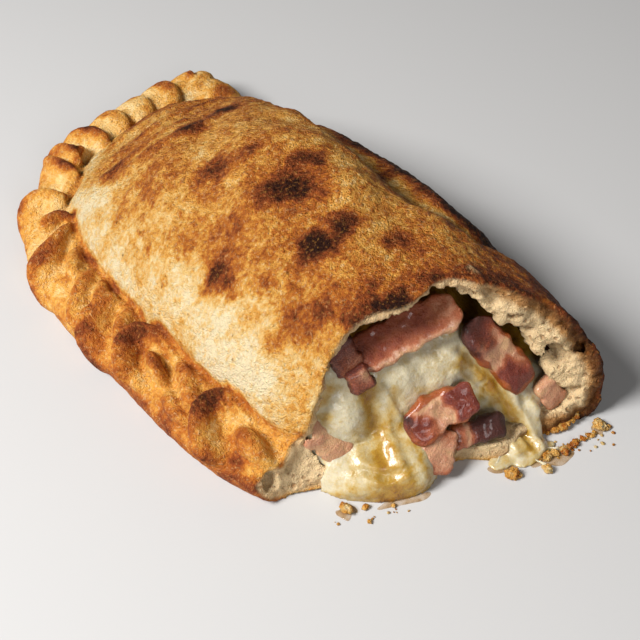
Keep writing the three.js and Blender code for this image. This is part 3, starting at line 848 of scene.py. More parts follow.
# %% Browning of the dome
SPOTS = [  # x, y, radius across the view, radius along it, how much browner
    (-9.2, 2.0, 10.5, 9.5, 0.5),
    (2.9, 8.7, 7.5, 4.5, 0.45),
    (-6.1, -17.9, 6.0, 5.5, 0.42),
    (-14.2, -19.2, 7.0, 6.0, 0.36),
    (-18.6, -18.1, 6.0, 6.0, 0.3),
    (-36.4, 2.3, 6.5, 6.5, 0.38),
    (12.7, 61.0, 7.0, 5.0, 0.42),
    (-4.5, 58.0, 7.0, 5.0, 0.3),
    (-15.6, 30.1, 7.0, 6.0, 0.32),
    (-32.1, -23.9, 10.0, 9.0, 0.22),
    (25.5, 4.5, 6.0, 4.0, 0.4),
    (0.7, -32.9, 7.0, 5.0, 0.3),
    (-28.1, 8.1, 6.0, 8.0, 0.16),
    (-31.5, 47.1, 4.0, 9.0, 0.2),
    (-24.8, 70.5, 4.0, 9.0, 0.16),
    (-5.9, 24.6, 7.0, 6.0, 0.22),
    (-39.7, -26.7, 4.0, 4.0, 0.18),
    (-32.0, -15.0, 3.0, 3.0, 0.2),
    (-38.2, -7.1, 2.2, 2.2, 0.3),
    (-24.9, -43.9, 4.0, 5.0, 0.26),
    (-19.3, -45.2, 3.5, 4.0, 0.2),
    (-13.0, -47.7, 5.5, 5.0, 0.3),
    (-1.6, -50.8, 6.5, 4.5, 0.3),
    (9.8, -54.3, 6.0, 4.5, 0.26),
    (17.5, -62.2, 6.5, 5.0, 0.24),
    (-33.0, -36.0, 4.0, 6.0, 0.14),
    (-27.0, -33.0, 5.0, 4.0, 0.12),
]
VIEW_TURN = math.radians(40)  # the spots are measured across and along the camera's line of sight


def spot(x, y, cx, cy, across, along):
    """A round patch with a soft rim, 1 in its middle."""
    dx, dy = x - cx, y - cy
    right = dx * math.cos(VIEW_TURN) - dy * math.sin(VIEW_TURN)
    ahead = dx * math.sin(VIEW_TURN) + dy * math.cos(VIEW_TURN)
    return np.exp(-1.6 * ((right / across) ** 2 + (ahead / along) ** 2) ** 1.4)


def dome_bake(points):
    x, y, z = points.T
    wander = ripple(points, 13, 3, 5)
    shift = 2.6 * np.stack([ripple(points, 7, 3, 12), ripple(points, 7, 3, 31)], -1)
    sx, sy = x + shift[:, 0], y + shift[:, 1]
    foot, _ = edge_at(point_along)
    from_rope = np.hypot(x - foot[:, 0], y - foot[:, 1]) - ROPE_WIDTH
    from_cut_edge = to_cut(points)[1] - CUT_LEAN * z
    bake = 0.45 + 0.15 * wander  # golden all over, but unevenly
    # Past the groove, on the shoulder and at the near end beside it the dough is browner: partly real
    # browning, partly painted shade on the side turned from the light.
    past_groove = ramp(2, 10, x - np.interp(y, *GROOVE_LINE) + 3 * wander) * ramp(-60, -30, y)
    bake += past_groove * mix(0.05, 0.45, ramp(12, 34, z + 8 * wander))
    bake += 0.07 * ramp(12, 30, x)
    bake += 0.2 * ramp(20, 38, x) * ramp(-20, -50, y)
    # The rim of the cut is a little darker, on the right and at its left corner.
    bake += 0.16 * (1 - ramp(4, 16, from_cut_edge + 5 * wander)) * ramp(-34, -16, x)
    bake += 0.16 * (1 - ramp(3, 18, from_cut_edge)) * ramp(-24, -34, x)
    # Beside the rope the dough stayed pale, most of all along the near half of the left side.
    bake -= 0.31 * (1 - ramp(1, 19, from_rope + 6 * wander)) * ramp(100, 150, point_along)
    bake -= 0.2 * (1 - ramp(0, 9, from_rope)) * ramp(150, 100, point_along)
    bake -= 0.16 * spot(sx, sy, -47, -22, 14, 20)
    # The bottom of the groove was shaded from the heat.
    in_groove = 1 - ramp(1.5, 7, away_from(GROOVE, x, y))
    bake -= 0.18 * in_groove * ramp(-44, -20, y) * ramp(80, 50, y)
    for cx, cy, across, along, more in SPOTS:
        bake += more * spot(sx, sy, cx, cy, across, along)
    for _, brown, path in FAR_CREASES:
        bake += brown * np.exp(-((away_from(path, x + 0.3 * shift[:, 0], y) / 2.4) ** 2))
    return bake


# %% [markdown]
# ## Browning of the rope
# The higher a fold stands, the browner it is, and the outer foot browned on the hot oven floor. A few
# crests caught more heat than the rest and have spots of their own.

# %% Browning of the rope
ROPE_SPOTS = [  # along the edge, round the rope, reach along, reach round, how much browner
    (255, 0.46, 4.5, 6.5, 0.5),
    (219, 0.5, 5.0, 6.0, 0.42),
    (224, 0.66, 5.0, 3.0, 0.2),
    (206, 0.26, 6.0, 5.0, 0.36),
    (196, 0.71, 4.0, 2.5, 0.28),
    (178, 0.73, 5.0, 2.5, 0.3),
    (167, 0.41, 4.0, 7.0, 0.28),
    (148, 0.65, 3.0, 4.0, 0.36),
    (138, 0.22, 3.0, 3.0, 0.3),
    (117, 0.57, 3.0, 4.5, 0.36),
    (91, 0.42, 3.5, 6.0, 0.46),
    (105, 0.5, 4.0, 3.5, 0.26),
    (54, 0.4, 4.0, 5.0, 0.34),
    (38, 0.45, 5.0, 5.0, 0.32),
    (10, 0.45, 6.0, 8.0, 0.46),
    (233, 0.5, 5.0, 3.0, 0.26),
    (240, 0.6, 4.5, 2.5, 0.24),
    (272, 0.24, 3.5, 3.5, 0.5),
    (268, 0.42, 5.0, 3.0, 0.26),
    (243, 0.22, 7.0, 6.0, 0.26),
    (276, 0.0, 12.0, 5.0, 0.2),
]


def rope_bake(points):
    height = np.clip((point_folds - HOLLOW) / (1 - HOLLOW), 0, 1.1)
    low = 1 - ramp(-0.05, 0.3, point_round)
    near = ramp(180, 215, point_along)
    bake = 0.28 + 0.07 * near + mix(0.22, 0.16, near) * ramp(0.35, 1.0, height)
    bake += 0.25 * low * mix(0.7, 1, near)
    bake += 0.12 * ripple(points, 9, 3, 2)
    wander = 1.6 * ripple(points, 5, 2, 21)
    for start, crest, reach_along, reach_round, more in ROPE_SPOTS:
        dx = (point_along - start + wander) / reach_along
        dy = ((point_round - crest) * GIRTH + wander) / reach_round
        bake += 0.75 * more * np.exp(-1.3 * (dx * dx + dy * dy) ** 1.2)
    return bake


# %% [markdown]
# ## Five numbers for the material
# The browning of the dome and of the rope are blended where the two meet, and their seams are darkened
# as painted shade. With it the mesh keeps how much each point is crumb, how deep in the crumb it lies,
# how far behind the cut it lies, which darkens it as soaked oil and painted shade, and how much it
# belongs to the rope.

# %% Numbers on the crust
bake = mix(dome_bake(skin_points), rope_bake(skin_points), on_rope)
# painted shade: the seams between the rope and the dome, and between the folds, are made browner
bake += 0.05 * seam + 0.15 * point_seams * on_rope
above_base = ramp(0.4, 2.2, skin_points[:, 2] + 0.6 * ripple(skin_points, 3, 2, 8))
store(crust, "bake", bake)
store(crust, "crumb", (1 - on_skin) * above_base)
store(crust, "deep", ramp(2.5, 7.5, depth) + 0.8 * (1 - thick_side))
behind = inward - tear(to_cut(skin_points)[0], skin_points[:, 2])
# painted shade with soaked oil: the crumb goes dark deeper in the hollow behind the cut
store(crust, "oily", ramp(3.5, 10, behind))
store(crust, "rope", on_rope)
print(f"browning from {bake.min():.2f} to {bake.max():.2f}")

# %% [markdown]
# ## Material helpers
# A material is a small graph of nodes. These helpers add a node, set its inputs and join it up in one
# line each, which keeps the recipes below short enough to read.

# %% Nodes
def colour(code):
    """A web colour as the linear numbers that shaders use."""
    parts = [int(code[i : i + 2], 16) / 255 for i in (1, 3, 5)]
    return (*[p / 12.92 if p < 0.04045 else ((p + 0.055) / 1.055) ** 2.4 for p in parts], 1.0)


def node(tree, kind, settings=None, **inputs):
    made = tree.nodes.new(kind)
    for key, value in (settings or {}).items():
        setattr(made, key, value)
    for key, value in inputs.items():
        feed(tree, made, key, value)
    return made


def feed(tree, made, key, value):
    """Sets an input or links it. The key is the input's name, or i and its number."""
    numbered = key[0] == "i" and key[1:].isdigit()
    socket = made.inputs[int(key[1:]) if numbered else key.replace("_", " ")]
    if isinstance(value, bpy.types.NodeSocket):
        tree.links.new(value, socket)
    else:
        socket.default_value = value


def ramp_node(tree, value, stops):
    made = node(tree, "ShaderNodeValToRGB", i0=value)
    keys = made.color_ramp.elements
    while len(keys) < len(stops):
        keys.new(0.5)
    for key, (at, code) in zip(keys, stops):
        key.position = at
        key.color = colour(code)
    return made.outputs["Color"]


def maths(tree, operation, a, b=0.0, c=0.0, clamp=False):
    made = node(tree, "ShaderNodeMath", {"operation": operation, "use_clamp": clamp}, i0=a, i1=b, i2=c)
    return made.outputs[0]


def mixed(tree, share, a, b):
    made = node(tree, "ShaderNodeMix", {"data_type": "RGBA"}, i0=share)
    feed(tree, made, "i6", a)
    feed(tree, made, "i7", b)
    return made.outputs[2]


def node_range(tree, value, low, high):
    """0 below low, 1 above high and a smooth rise between them."""
    smooth = {"interpolation_type": "SMOOTHSTEP"}
    return node(tree, "ShaderNodeMapRange", smooth, i0=value, i1=low, i2=high).outputs[0]


def mask(tree, name):
    """One of the numbers kept on the mesh."""
    return node(tree, "ShaderNodeAttribute", {"attribute_name": name}).outputs["Fac"]


def object_place(tree):
    return node(tree, "ShaderNodeTexCoord").outputs["Object"]


def new_material(name):
    made = bpy.data.materials.new(name)
    made.use_nodes = True
    return made, made.node_tree, made.node_tree.nodes["Principled BSDF"]


# %% [markdown]
# ## A group for grain
# Bread, cheese and bacon all have a fine grain, at different sizes. The grain is one node group with
# a size in millimetres, a detail and a roughness for its inputs, and it puts out a soft mottle and a
# finer grain.

# %% The grain group
GRAIN_FINER = 5.3  # the grain is this many times finer than the mottle


def make_grain():
    tree = bpy.data.node_groups.new("grain", "ShaderNodeTree")
    for name, value in (("Size", 1.0), ("Detail", 4.0), ("Roughness", 0.55)):
        socket = tree.interface.new_socket(name, in_out="INPUT", socket_type="NodeSocketFloat")
        socket.default_value = value
    for name in ("Mottle", "Grain"):
        tree.interface.new_socket(name, in_out="OUTPUT", socket_type="NodeSocketFloat")
    come = tree.nodes.new("NodeGroupInput")
    go = tree.nodes.new("NodeGroupOutput")
    place = object_place(tree)
    scale = maths(tree, "DIVIDE", 1 / MM, come.outputs["Size"])
    small = maths(tree, "MULTIPLY", scale, GRAIN_FINER)
    for name, size in (("Mottle", scale), ("Grain", small)):
        cloud = node(tree, "ShaderNodeTexNoise", Vector=place, Scale=size)
        tree.links.new(come.outputs["Detail"], cloud.inputs["Detail"])
        tree.links.new(come.outputs["Roughness"], cloud.inputs["Roughness"])
        tree.links.new(cloud.outputs["Fac"], go.inputs[name])
    return tree


grain = make_grain()


def grain_node(tree, size, detail=4.0, roughness=0.55):
    made = node(tree, "ShaderNodeGroup", {"node_tree": grain})
    made.inputs["Size"].default_value = size
    made.inputs["Detail"].default_value = detail
    made.inputs["Roughness"].default_value = roughness
    return made.outputs["Mottle"], made.outputs["Grain"]


# %% [markdown]
# ## The crust's finish
# Baked dough is dull and speckled. One number per point says how brown it is, with painted shade in
# its seams and on its right side, and a colour ramp turns that number into cream, gold, brown and char.
# Grain breaks up the edges between them, and pale flecks, partly flour and partly painted glints, and
# pinholes darkened as painted shade dot the skin. The same grain drives the bump, so light and colour
# agree. Inside, the crumb has its own ramp with small pores darkened as painted shade, and it goes brown
# where oil has soaked in and as painted shade deeper in the hollow. Painting an image would give the
# same colours, but a ramp stays sharp at any distance.

# %% Tones of skin and crumb
SKIN_TONES = [
    (0.0, "#f3dfb4"),
    (0.2, "#edc47e"),
    (0.36, "#e0a148"),
    (0.54, "#b96a26"),
    (0.7, "#8c4520"),
    (0.86, "#562913"),
    (1.0, "#2c150d"),
]
# the pale flecks are partly flour and partly painted glints on the crinkles
FLOUR_AND_GLINT_TONES = [(0.2, "#f4e2b8"), (0.8, "#c48640")]
CRUMB_TONES = [(0.0, "#623a1a"), (0.42, "#ab7c4a"), (0.95, "#e0c294")]
# painted shade with soaked oil: the dark tone deep in the hollow behind the cut
# painted shade: the tone of the crumb's pores
# painted shade: the tone of the pinholes on the skin
PINHOLE_SHADE_TONE, PORE_SHADE_TONE, SOAKED_AND_SHADED_TONE = "#6a3c14", "#8a5220", "#4a2810"
PINHOLES, PORES = 0.2, 0.36  # how many to the millimetre


def pits(tree, per_mm):
    """Distance to the middle of the nearest pit, for pits scattered evenly."""
    cells = node(tree, "ShaderNodeTexVoronoi", Scale=per_mm / MM)
    tree.links.new(object_place(tree), cells.inputs["Vector"])
    return cells.outputs["Distance"]


def skin_tone(tree, patch, fleck, flour, hole):
    brown = maths(tree, "ADD", mask(tree, "bake"), maths(tree, "MULTIPLY_ADD", patch, 0.6, -0.3))
    speck = maths(tree, "MULTIPLY_ADD", mask(tree, "rope"), -0.35, 0.75)  # the rope is less speckled
    brown = maths(tree, "MULTIPLY_ADD", maths(tree, "ADD", flour, -0.5), speck, brown)
    skin = ramp_node(tree, brown, SKIN_TONES)
    # pale flecks: partly flour, partly painted glints
    pale = maths(tree, "MULTIPLY", node_range(tree, fleck, 0.54, 0.68), 0.38)
    skin = mixed(tree, pale, skin, ramp_node(tree, brown, FLOUR_AND_GLINT_TONES))
    # painted shade in the pinholes
    return mixed(tree, maths(tree, "MULTIPLY", hole, 0.6), skin, colour(PINHOLE_SHADE_TONE))


def crumb_tone(tree, flour, pore):
    inner = maths(tree, "ADD", mask(tree, "deep"), maths(tree, "MULTIPLY_ADD", flour, 0.8, -0.4))
    inner = ramp_node(tree, inner, CRUMB_TONES)
    # painted shade in the pores of the crumb
    inner = mixed(tree, maths(tree, "MULTIPLY", pore, 0.5), inner, colour(PORE_SHADE_TONE))
    # painted shade and soaked oil: darker deeper in the hollow behind the cut
    return mixed(tree, mask(tree, "oily"), inner, colour(SOAKED_AND_SHADED_TONE))


def crust_height(tree, fleck, flour, dust, hole, pore):
    """Height for the bump: floury grain and fine creases, with the pinholes and pores sunk in."""
    crease = maths(tree, "ABSOLUTE", maths(tree, "ADD", fleck, -0.5))
    crease = maths(tree, "MULTIPLY", crease, 2.2, clamp=True)
    height = maths(tree, "ADD", maths(tree, "MULTIPLY", flour, 1.5), crease)
    height = maths(tree, "ADD", height, maths(tree, "MULTIPLY", dust, 0.12))
    height = maths(tree, "SUBTRACT", height, maths(tree, "MULTIPLY", hole, 0.5))
    height = maths(tree, "SUBTRACT", height, maths(tree, "MULTIPLY", pore, 0.8))
    calm = maths(tree, "MULTIPLY_ADD", mask(tree, "rope"), -0.4, 1.0)
    calm = maths(tree, "MULTIPLY_ADD", mask(tree, "crumb"), -0.5, calm)
    return maths(tree, "MULTIPLY", height, calm)


# %% [markdown]
# The tones are joined by the crumb number. The crumb is damp, so it is shinier than the dry skin. The
# bump only adds what is too fine for the mesh.

# %% Crust material
def make_crust_material():
    made, tree, shader = new_material("crust")
    patch, fleck = grain_node(tree, 5.0, 3.0, 0.6)
    flour, dust = grain_node(tree, 1.5, 3.0, 0.65)
    hole = node_range(tree, pits(tree, PINHOLES), 0.13, 0.06)
    hole = maths(tree, "MULTIPLY", hole, node_range(tree, patch, 0.5, 0.58))
    pore = maths(tree, "ADD", pits(tree, PORES), maths(tree, "MULTIPLY", flour, 0.4))
    pore = maths(tree, "MULTIPLY", node_range(tree, pore, 0.5, 0.3), mask(tree, "crumb"))
    skin = skin_tone(tree, patch, fleck, flour, hole)
    base = mixed(tree, mask(tree, "crumb"), skin, crumb_tone(tree, flour, pore))
    tree.links.new(base, shader.inputs["Base Color"])
    shine = maths(tree, "MULTIPLY_ADD", dust, 0.35, 0.45)
    shine = maths(tree, "MULTIPLY_ADD", mask(tree, "crumb"), -0.25, shine)
    tree.links.new(shine, shader.inputs["Roughness"])
    height = crust_height(tree, fleck, flour, dust, hole, pore)
    bump = node(tree, "ShaderNodeBump", Strength=1.0, Distance=0.0014, Height=height)
    tree.links.new(bump.outputs[0], shader.inputs["Normal"])
    shader.inputs["Specular IOR Level"].default_value = 0.12
    shader.inputs["Subsurface Weight"].default_value = 0.08
    shader.inputs["Subsurface Scale"].default_value = 0.002
    shader.inputs["Subsurface Radius"].default_value = (1.0, 0.5, 0.25)
    return made


def dress(piece, material):
    piece.data.materials.clear()
    piece.data.materials.append(material)


crust_material = make_crust_material()
dress(crust, crust_material)

# %% [markdown]
# ## Melted cheese
# The cheese fills the hollow and has run out of it: a bank that rises into the food, with one broad
# tongue over the lip of bread down to the table, and a narrow curtain at the right.

# %% Cheese shape
CHEESE_SKIN = 0.6  # size of the squares in the skin, in millimetres
CHEESE_RUN = np.array(
    [  # along the cut, how far out, height of the bank, its slope
        (-8, -3, 0, 3.4),
        (6, -1, 1, 3.4),
        (13, 5, 1, 3.1),
        (20, 8.6, 4, 2.5),
        (28, 10.8, 6, 2.0),
        (36, 10.2, 6, 1.9),
        (41, 7, 6, 1.8),
        (47, 0.5, 7, 1.7),
        (54, -2.5, 9, 1.6),
        (65, -2, 7, 1.6),
        (70, 2.5, 5, 1.5),
        (75, 3, 4, 1.6),
        (80, -3, 2, 2.0),
        (110, -6, 0, 2.6),
    ],
    float,
)
CEILING = np.array(  # along the cut, and the greatest height of the cheese there
    [(-20, 33), (20, 36), (34, 39), (52, 38), (60, 30), (66, 24), (70, 16), (78, 13), (110, 12)], float
)
RUN_TABLE = np.array(smooth_path(CHEESE_RUN.tolist(), 12))


def cheese_height(along, inward):
    """Height of the cheese: a rounded nose where it ran out, then a bank up to a soft ceiling."""
    reach, bank, slope = [np.interp(along, RUN_TABLE[:, 0], RUN_TABLE[:, k]) for k in (1, 2, 3)]
    depth = inward + reach
    nose = 9.5 * power(np.minimum(1, depth / 6), 0.5) + 0.3 * np.maximum(0, depth - 4)
    wave = 0.5 * np.sin(along / 4.5 + inward / 7) * np.clip(depth / 3, 0, 1)
    height = np.maximum(nose, np.minimum(depth * 3, bank + slope * inward)) + wave
    ceiling = np.interp(along, CEILING[:, 0], CEILING[:, 1]) + 0.25 * np.maximum(0, inward - 25)
    over = np.maximum(0, height - (ceiling - 6))
    height = np.where(over > 0, ceiling - 6 + 6 * (1 - np.exp(-over / 6)), height)
    return np.where(depth < 0, nose, height)


def cheese_rings():
    along = np.linspace(-7, CUT_LENGTH + 12, 190)[:, None]
    inward = np.append(np.linspace(-14, 36, 100), [50, 80, 200])[None, :]
    height = np.clip(cheese_height(along + 0 * inward, inward + 0 * along), -5, 60)
    top = from_cut(along, inward, height)
    under = from_cut(along, inward, -2 * BASE_TRIM)[:, ::-1]
    return np.concatenate([top, under], 1)


cheese = solid_from_rings("melted_cheese", cheese_rings())
room = combine(
    solid_from_rings("room", cavity_rings(60, 60, 0.15)),
    solid_from_rings("room_front", front_rings(80, 30, 0.15)),
    "UNION",
)
trim_at_table(cheese)
combine(cheese, room, "INTERSECT", keep_tool=True)
print(f"cheese in its room: {len(cheese.data.vertices)} points")

# %% [markdown]
# ## The foot of the curtain
# The narrow curtain of cheese at the right ends in a low puddle in front of the loaf. It is a few
# flat, squashed balls joined to the rest. One new skin then rounds every joint.

# %% Foot and skin of the cheese
FOOT = [  # along the cut, inward, height, then three radii
    (66.5, -2.5, 1.6, 4.5, 5, 2.2),
    (71, -3.5, 1.2, 4.5, 5, 1.6),
    (62, -6, 0.3, 6, 3.5, 0.9),
    (69, -7.5, 0.3, 6, 3, 0.9),
    (75, -6, 0.2, 4, 2, 0.7),
]
combine(cheese, balls("cheese_foot", ball_places(FOOT), 0.5), "UNION")
trim_at_table(cheese)
remesh(cheese, CHEESE_SKIN)
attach(cheese, "root")
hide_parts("cheese")
print(f"cheese: {len(cheese.data.vertices)} points")

# %% [markdown]
# ## Lobes and strands
# Cheese melts in lobes, and where it was pulled it hangs in strands. Both are pushed out of the even
# skin along its normals, at places given as they are seen from the cut: millimetres along it, and
# height. Only the part that shows is shaped, and the rest is thinned out like the crust was.

# %% Lobes and strands
LOBES = [  # along the cut, height, half width, half height, lift
    (44, 25, 14, 9, 1.8),
    (34, 27, 8, 7, 0.8),
    (19, 20, 8, 9, 2.4),
    (35, 6, 7, 5, 1.2),
    (20, 5, 7, 4, 0.9),
    (26.5, 15, 4.5, 11, -0.7),
    (10, 23, 5, 4, -1.2),
    (30, 10, 3, 6, 0.8),
    (57, 24, 4, 6, -0.9),
]
STRANDS = [  # lift, half width, then along the cut and height at each place of the line
    (0.9, 1.5, [(49, 30), (56, 25), (61, 19), (65, 11), (68, 5), (70, 0)]),
    (0.9, 1.2, [(55, 32), (62, 24), (67, 16), (70, 9), (73, 2)]),
    (0.8, 1.1, [(60, 27), (66, 20), (71, 14), (75, 8)]),
    (0.7, 1.0, [(52, 24), (56, 18), (61, 13), (64, 6), (66, 1)]),
    (-0.9, 1.2, [(53, 29), (59, 23), (64, 16), (67.5, 8), (70, 3)]),
    (0.5, 0.9, [(28, 28), (32, 22), (34, 16)]),
    (0.5, 0.8, [(30, 13), (25, 12), (21, 13.5)]),
    (0.5, 0.8, [(31, 9.5), (25.5, 8.5), (20, 10)]),
    (0.5, 0.8, [(32, 6.5), (26, 5.5), (20.5, 6.5)]),
]
CHEESE_SEEN_IN = 27  # how far into the food the cheese is still seen, in millimetres

along, inward, height = to_cut(mesh_points(cheese))
thin_out(cheese, (inward > CHEESE_SEEN_IN) | (height < 0.3))
cheese_points = mesh_points(cheese)
along, inward, height = to_cut(cheese_points)
sway = 0.9 * ripple(cheese_points, 8, 2, 43)
lift = 0.45 * ripple(cheese_points, 6, 2, 41) + 0.12 * ripple(cheese_points, 2.2, 2, 42)
for a, z, ra, rz, more in LOBES:
    lift += more * hump(along, height, a, z, ra, rz)
for more, wide, line in STRANDS:
    lift += more * np.exp(-((away_from(line, along + sway, height) / wide) ** 2))
lift *= (1 - ramp(24, 28, inward)) * ramp(0.2, 2.5, height)
cheese_points = cheese_points + mesh_normals(cheese) * lift[:, None]
cheese_points[:, 2] = np.maximum(cheese_points[:, 2], 0)
move_points(cheese, cheese_points)
cheese.data.shade_smooth()

# %% [markdown]
# ## Where the oil has gathered
# Melted cheese lets go of its oil, which takes its colour from the bacon and runs down the flow in
# golden streaks. Each streak is a line on the cheese as seen from the cut, wider towards its foot. The
# same number also darkens the cheese where it goes in under the crust and on the left under the rim,
# which is painted shade, and at its foot, which is partly pooled oil and partly painted shade.

# %% Oil streaks
STREAKS = [  # strength, then along the cut, height and half width at each place of the line
    (0.8, [(24.5, 30, 2.8), (25.5, 24, 3.0), (27, 17, 4.2), (28, 11, 6.5), (27, 6, 8.5), (25, 2, 8.0)]),
    (0.6, [(33, 24, 1.2), (31.5, 18, 1.6), (30, 12, 2.0)]),
    (1.0, [(22, 3, 3.0), (26, 2.5, 4.5), (33, 2.5, 3.0)]),
    (0.7, [(27, 8, 6.5), (27, 5, 6.0)]),
    (0.7, [(53, 27, 2.0), (58, 22, 3.0), (61, 18, 3.4)]),
    (0.8, [(62, 18, 3.2), (64.5, 12, 3.0), (67, 8, 2.6), (70, 3, 2.0)]),
    # this streak is partly painted shade on the left, under the rim
    (0.55, [(5, 19, 1.6), (9, 21, 2.0), (13, 22, 1.4)]),
    (0.6, [(14, 29, 2.4), (11, 25, 2.0)]),
    (0.6, [(36, 14, 1.0), (37, 8, 1.6), (38, 4, 2.2)]),
    (0.5, [(18, 9, 1.4), (17, 5, 2.2)]),
]


def oil_on(along, height):
    """How oily the streaks make each place of the cheese, one of them partly painted shade."""
    oil = np.zeros(along.shape)
    for strength, line in STREAKS:
        for start, end in zip(line, line[1:]):
            away, t = off_stretch(along, height, start, end)
            oil = np.maximum(oil, strength * np.exp(-((away / mix(start[2], end[2], t)) ** 2)))
    return oil


cheese_points = mesh_points(cheese)
along, inward, height = to_cut(cheese_points)
stray = 1.6 * ripple(cheese_points, 6, 3, 51)
oil = 0.62 * oil_on(along + stray, height) + 0.3 * np.clip(ripple(cheese_points, 5, 3, 52), 0, 1)
# partly pooled oil, partly painted shade at the foot of the cheese
oil += 0.25 * ramp(2.0, 0.0, height)
roof = cheese_points[:, 2] - np.interp(along, CEILING[:, 0], CEILING[:, 1])
oil += 0.7 * ramp(14, 22, inward) * ramp(-14, -6, roof)  # painted shade where it goes in under the crust
# painted shade on the left, under the rim's edge
oil += 0.6 * ramp(8, 3, along) * ramp(12, 18, height)
store(cheese, "oil", oil)
print(f"oil covers {np.mean(oil > 0.4):.2f} of the cheese")

# %% [markdown]
# ## The cheese's finish
# Melted cheese lets some light in, so it gets a little subsurface scattering and an oily shine. Its
# colour runs from ivory to gold and brown along the oil number, whose darkest part is painted shade.

# %% Cheese material
# the darkest tones are painted shade, under the crust and on the left
CHEESE_TONES = [(0.0, "#cbbfa0"), (0.26, "#bea670"), (0.48, "#b08832"), (0.75, "#93641c"), (1.0, "#3a1e08")]


def make_cheese_material():
    made, tree, shader = new_material("cheese")
    cloud, grains = grain_node(tree, 4.0, 4.0, 0.6)
    # the oil number carries painted shade as well as oil
    spread = maths(tree, "ADD", mask(tree, "oil"), maths(tree, "MULTIPLY_ADD", cloud, 0.9, -0.45))
    spread = maths(tree, "ADD", spread, maths(tree, "MULTIPLY_ADD", grains, 0.5, -0.25))
    tree.links.new(ramp_node(tree, spread, CHEESE_TONES), shader.inputs["Base Color"])
    gloss = maths(tree, "MULTIPLY_ADD", grains, 0.35, 0.12)
    tree.links.new(gloss, shader.inputs["Roughness"])
    height = maths(tree, "ADD", cloud, maths(tree, "MULTIPLY", grains, 0.2))
    bump = node(tree, "ShaderNodeBump", Strength=0.55, Distance=0.001, Height=height)
    tree.links.new(bump.outputs[0], shader.inputs["Normal"])
    shader.inputs["Coat Weight"].default_value = 0.35
    shader.inputs["Coat Roughness"].default_value = 0.1
    shader.inputs["Subsurface Weight"].default_value = 0.35
    shader.inputs["Subsurface Scale"].default_value = 0.003
    shader.inputs["Subsurface Radius"].default_value = (1.0, 0.75, 0.4)
    return made


cheese_material = make_cheese_material()
dress(cheese, cheese_material)

# %% [markdown]
# ## Bacon
# A strip of bacon is a bent slab with a wavy edge and rounded ends. Along it, red lean meat and pale
# fat take turns, and where it met the pan its ends and edges have gone dark. Each strip gets a line
# of bands: how lean and how seared it is, from one end to the other.

# %% Bacon strips
BACON = [  # name, from and to in the cut's frame, width and thickness, tip, bend
    ("bacon_rasher", (20, 14.8, 31.5), (54, 16.8, 42.5), (11.5, 4.6), 55, 2),
    ("bacon_dark_end", (16.5, 14.5, 42), (22.5, 13.5, 31), (9, 6), 40, 1),
    ("bacon_nub", (22.0, 11, 33.5), (24.8, 8.3, 26.0), (7, 6), 40, 0),
    ("bacon_right", (56.5, 14.5, 37.5), (72.5, 6.5, 14.5), (10.5, 4.8), 40, 1),
    ("bacon_centre", (34.5, 0.8, 13.5), (55, 3.2, 21.5), (11, 4.8), 42, 1),
    ("bacon_pale_tail", (44.5, 0.5, 13), (39.5, -7, 3.2), (11, 5), 35, 1),
    ("bacon_crisp", (47, -0.8, 8.2), (64, -0.4, 9.3), (7.5, 4.8), 45, 1),
    ("bacon_pink_left", (7.5, 7, 19.5), (18, 2.2, 8), (9, 4.5), 40, 1),
    ("bacon_pink_right", (77, 6.5, 14.5), (83, 4.5, 5.5), (7.5, 6), 30, 0),
]
BANDS = {  # for each strip: places along it from -1 to 1, then how lean and how seared it is there
    "bacon_rasher": [
        (-1, -0.75, -0.3, 0.5, 1),
        (0.5, 0.75, 0.75, 0.68, 0.5),
        (0.7, 0.5, 0.15, 0.05, 0.2),
    ],
    "bacon_dark_end": [(-1, 0, 1), (0.6, 0.5, 0.4), (0.8, 0.6, 0.45)],
    "bacon_nub": [(-1, 0.2, 1), (0.5, 0.5, 0.7), (0.6, 0.55, 0.7)],
    "bacon_right": [
        (-1, -0.4, -0.2, 0.1, 0.3, 1),
        (0.9, 0.8, 0.2, 0.2, 1, 1),
        (0.8, 0.6, 0.2, 0.1, 0, 0.2),
    ],
    "bacon_centre": [
        (-1, -0.5, -0.2, 0.15, 0.35, 1),
        (0.8, 1, 0.2, 0.2, 1, 1),
        (0.4, 0.1, 0.1, 0, 0.1, 0.3),
    ],
    "bacon_pale_tail": [(-1, 0, 0.6, 1), (0.5, 0.2, 0.35, 0.5), (0.1, 0, 0, 0.15)],
    "bacon_crisp": [(-1, -0.6, -0.4, -0.1, 1), (0.7, 0.6, 0.2, 0.8, 0.9), (0.15, 0.2, 0.2, 0.8, 0.9)],
    "bacon_pink_left": [(-1, 0.2, 0.8, 1), (0.3, 0.15, 0.25, 0.4), (0, 0, 0, 0.05)],
    "bacon_pink_right": [(-1, 0.3, 1), (0.2, 0.35, 0.45), (0.05, 0, 0.05)],
}
PATCHES = [  # strip, along it, across it, reach along, reach across, lean, seared
    ("bacon_right", -0.1, 0.55, 0.45, 0.4, 0.1, 0.15),
    ("bacon_right", 0.25, 0.75, 0.35, 0.35, 0.3, 0.25),
    ("bacon_right", -0.35, -0.6, 0.25, 0.4, 0.3, 0.45),
    ("bacon_centre", -0.85, 0.6, 0.15, 0.4, 0.8, 1.0),
    ("bacon_centre", -0.3, -0.6, 0.3, 0.3, 0.5, 0.2),
    ("bacon_centre", -0.45, 0.75, 0.3, 0.3, 0.2, 0.25),
    ("bacon_rasher", 0.8, 0.0, 0.2, 0.8, 0.4, 0.15),
    ("bacon_rasher", 0.0, -0.95, 1.3, 0.3, 0.12, 0.0),
    ("bacon_rasher", -0.9, 0.2, 0.3, 0.8, 0.6, 0.75),
    ("bacon_nub", -0.4, 0.5, 0.4, 0.5, 0.1, 0.4),
]
SMOOTH = ("bacon_rasher", "bacon_pink_left", "bacon_pink_right", "bacon_pale_tail")  # low lumps
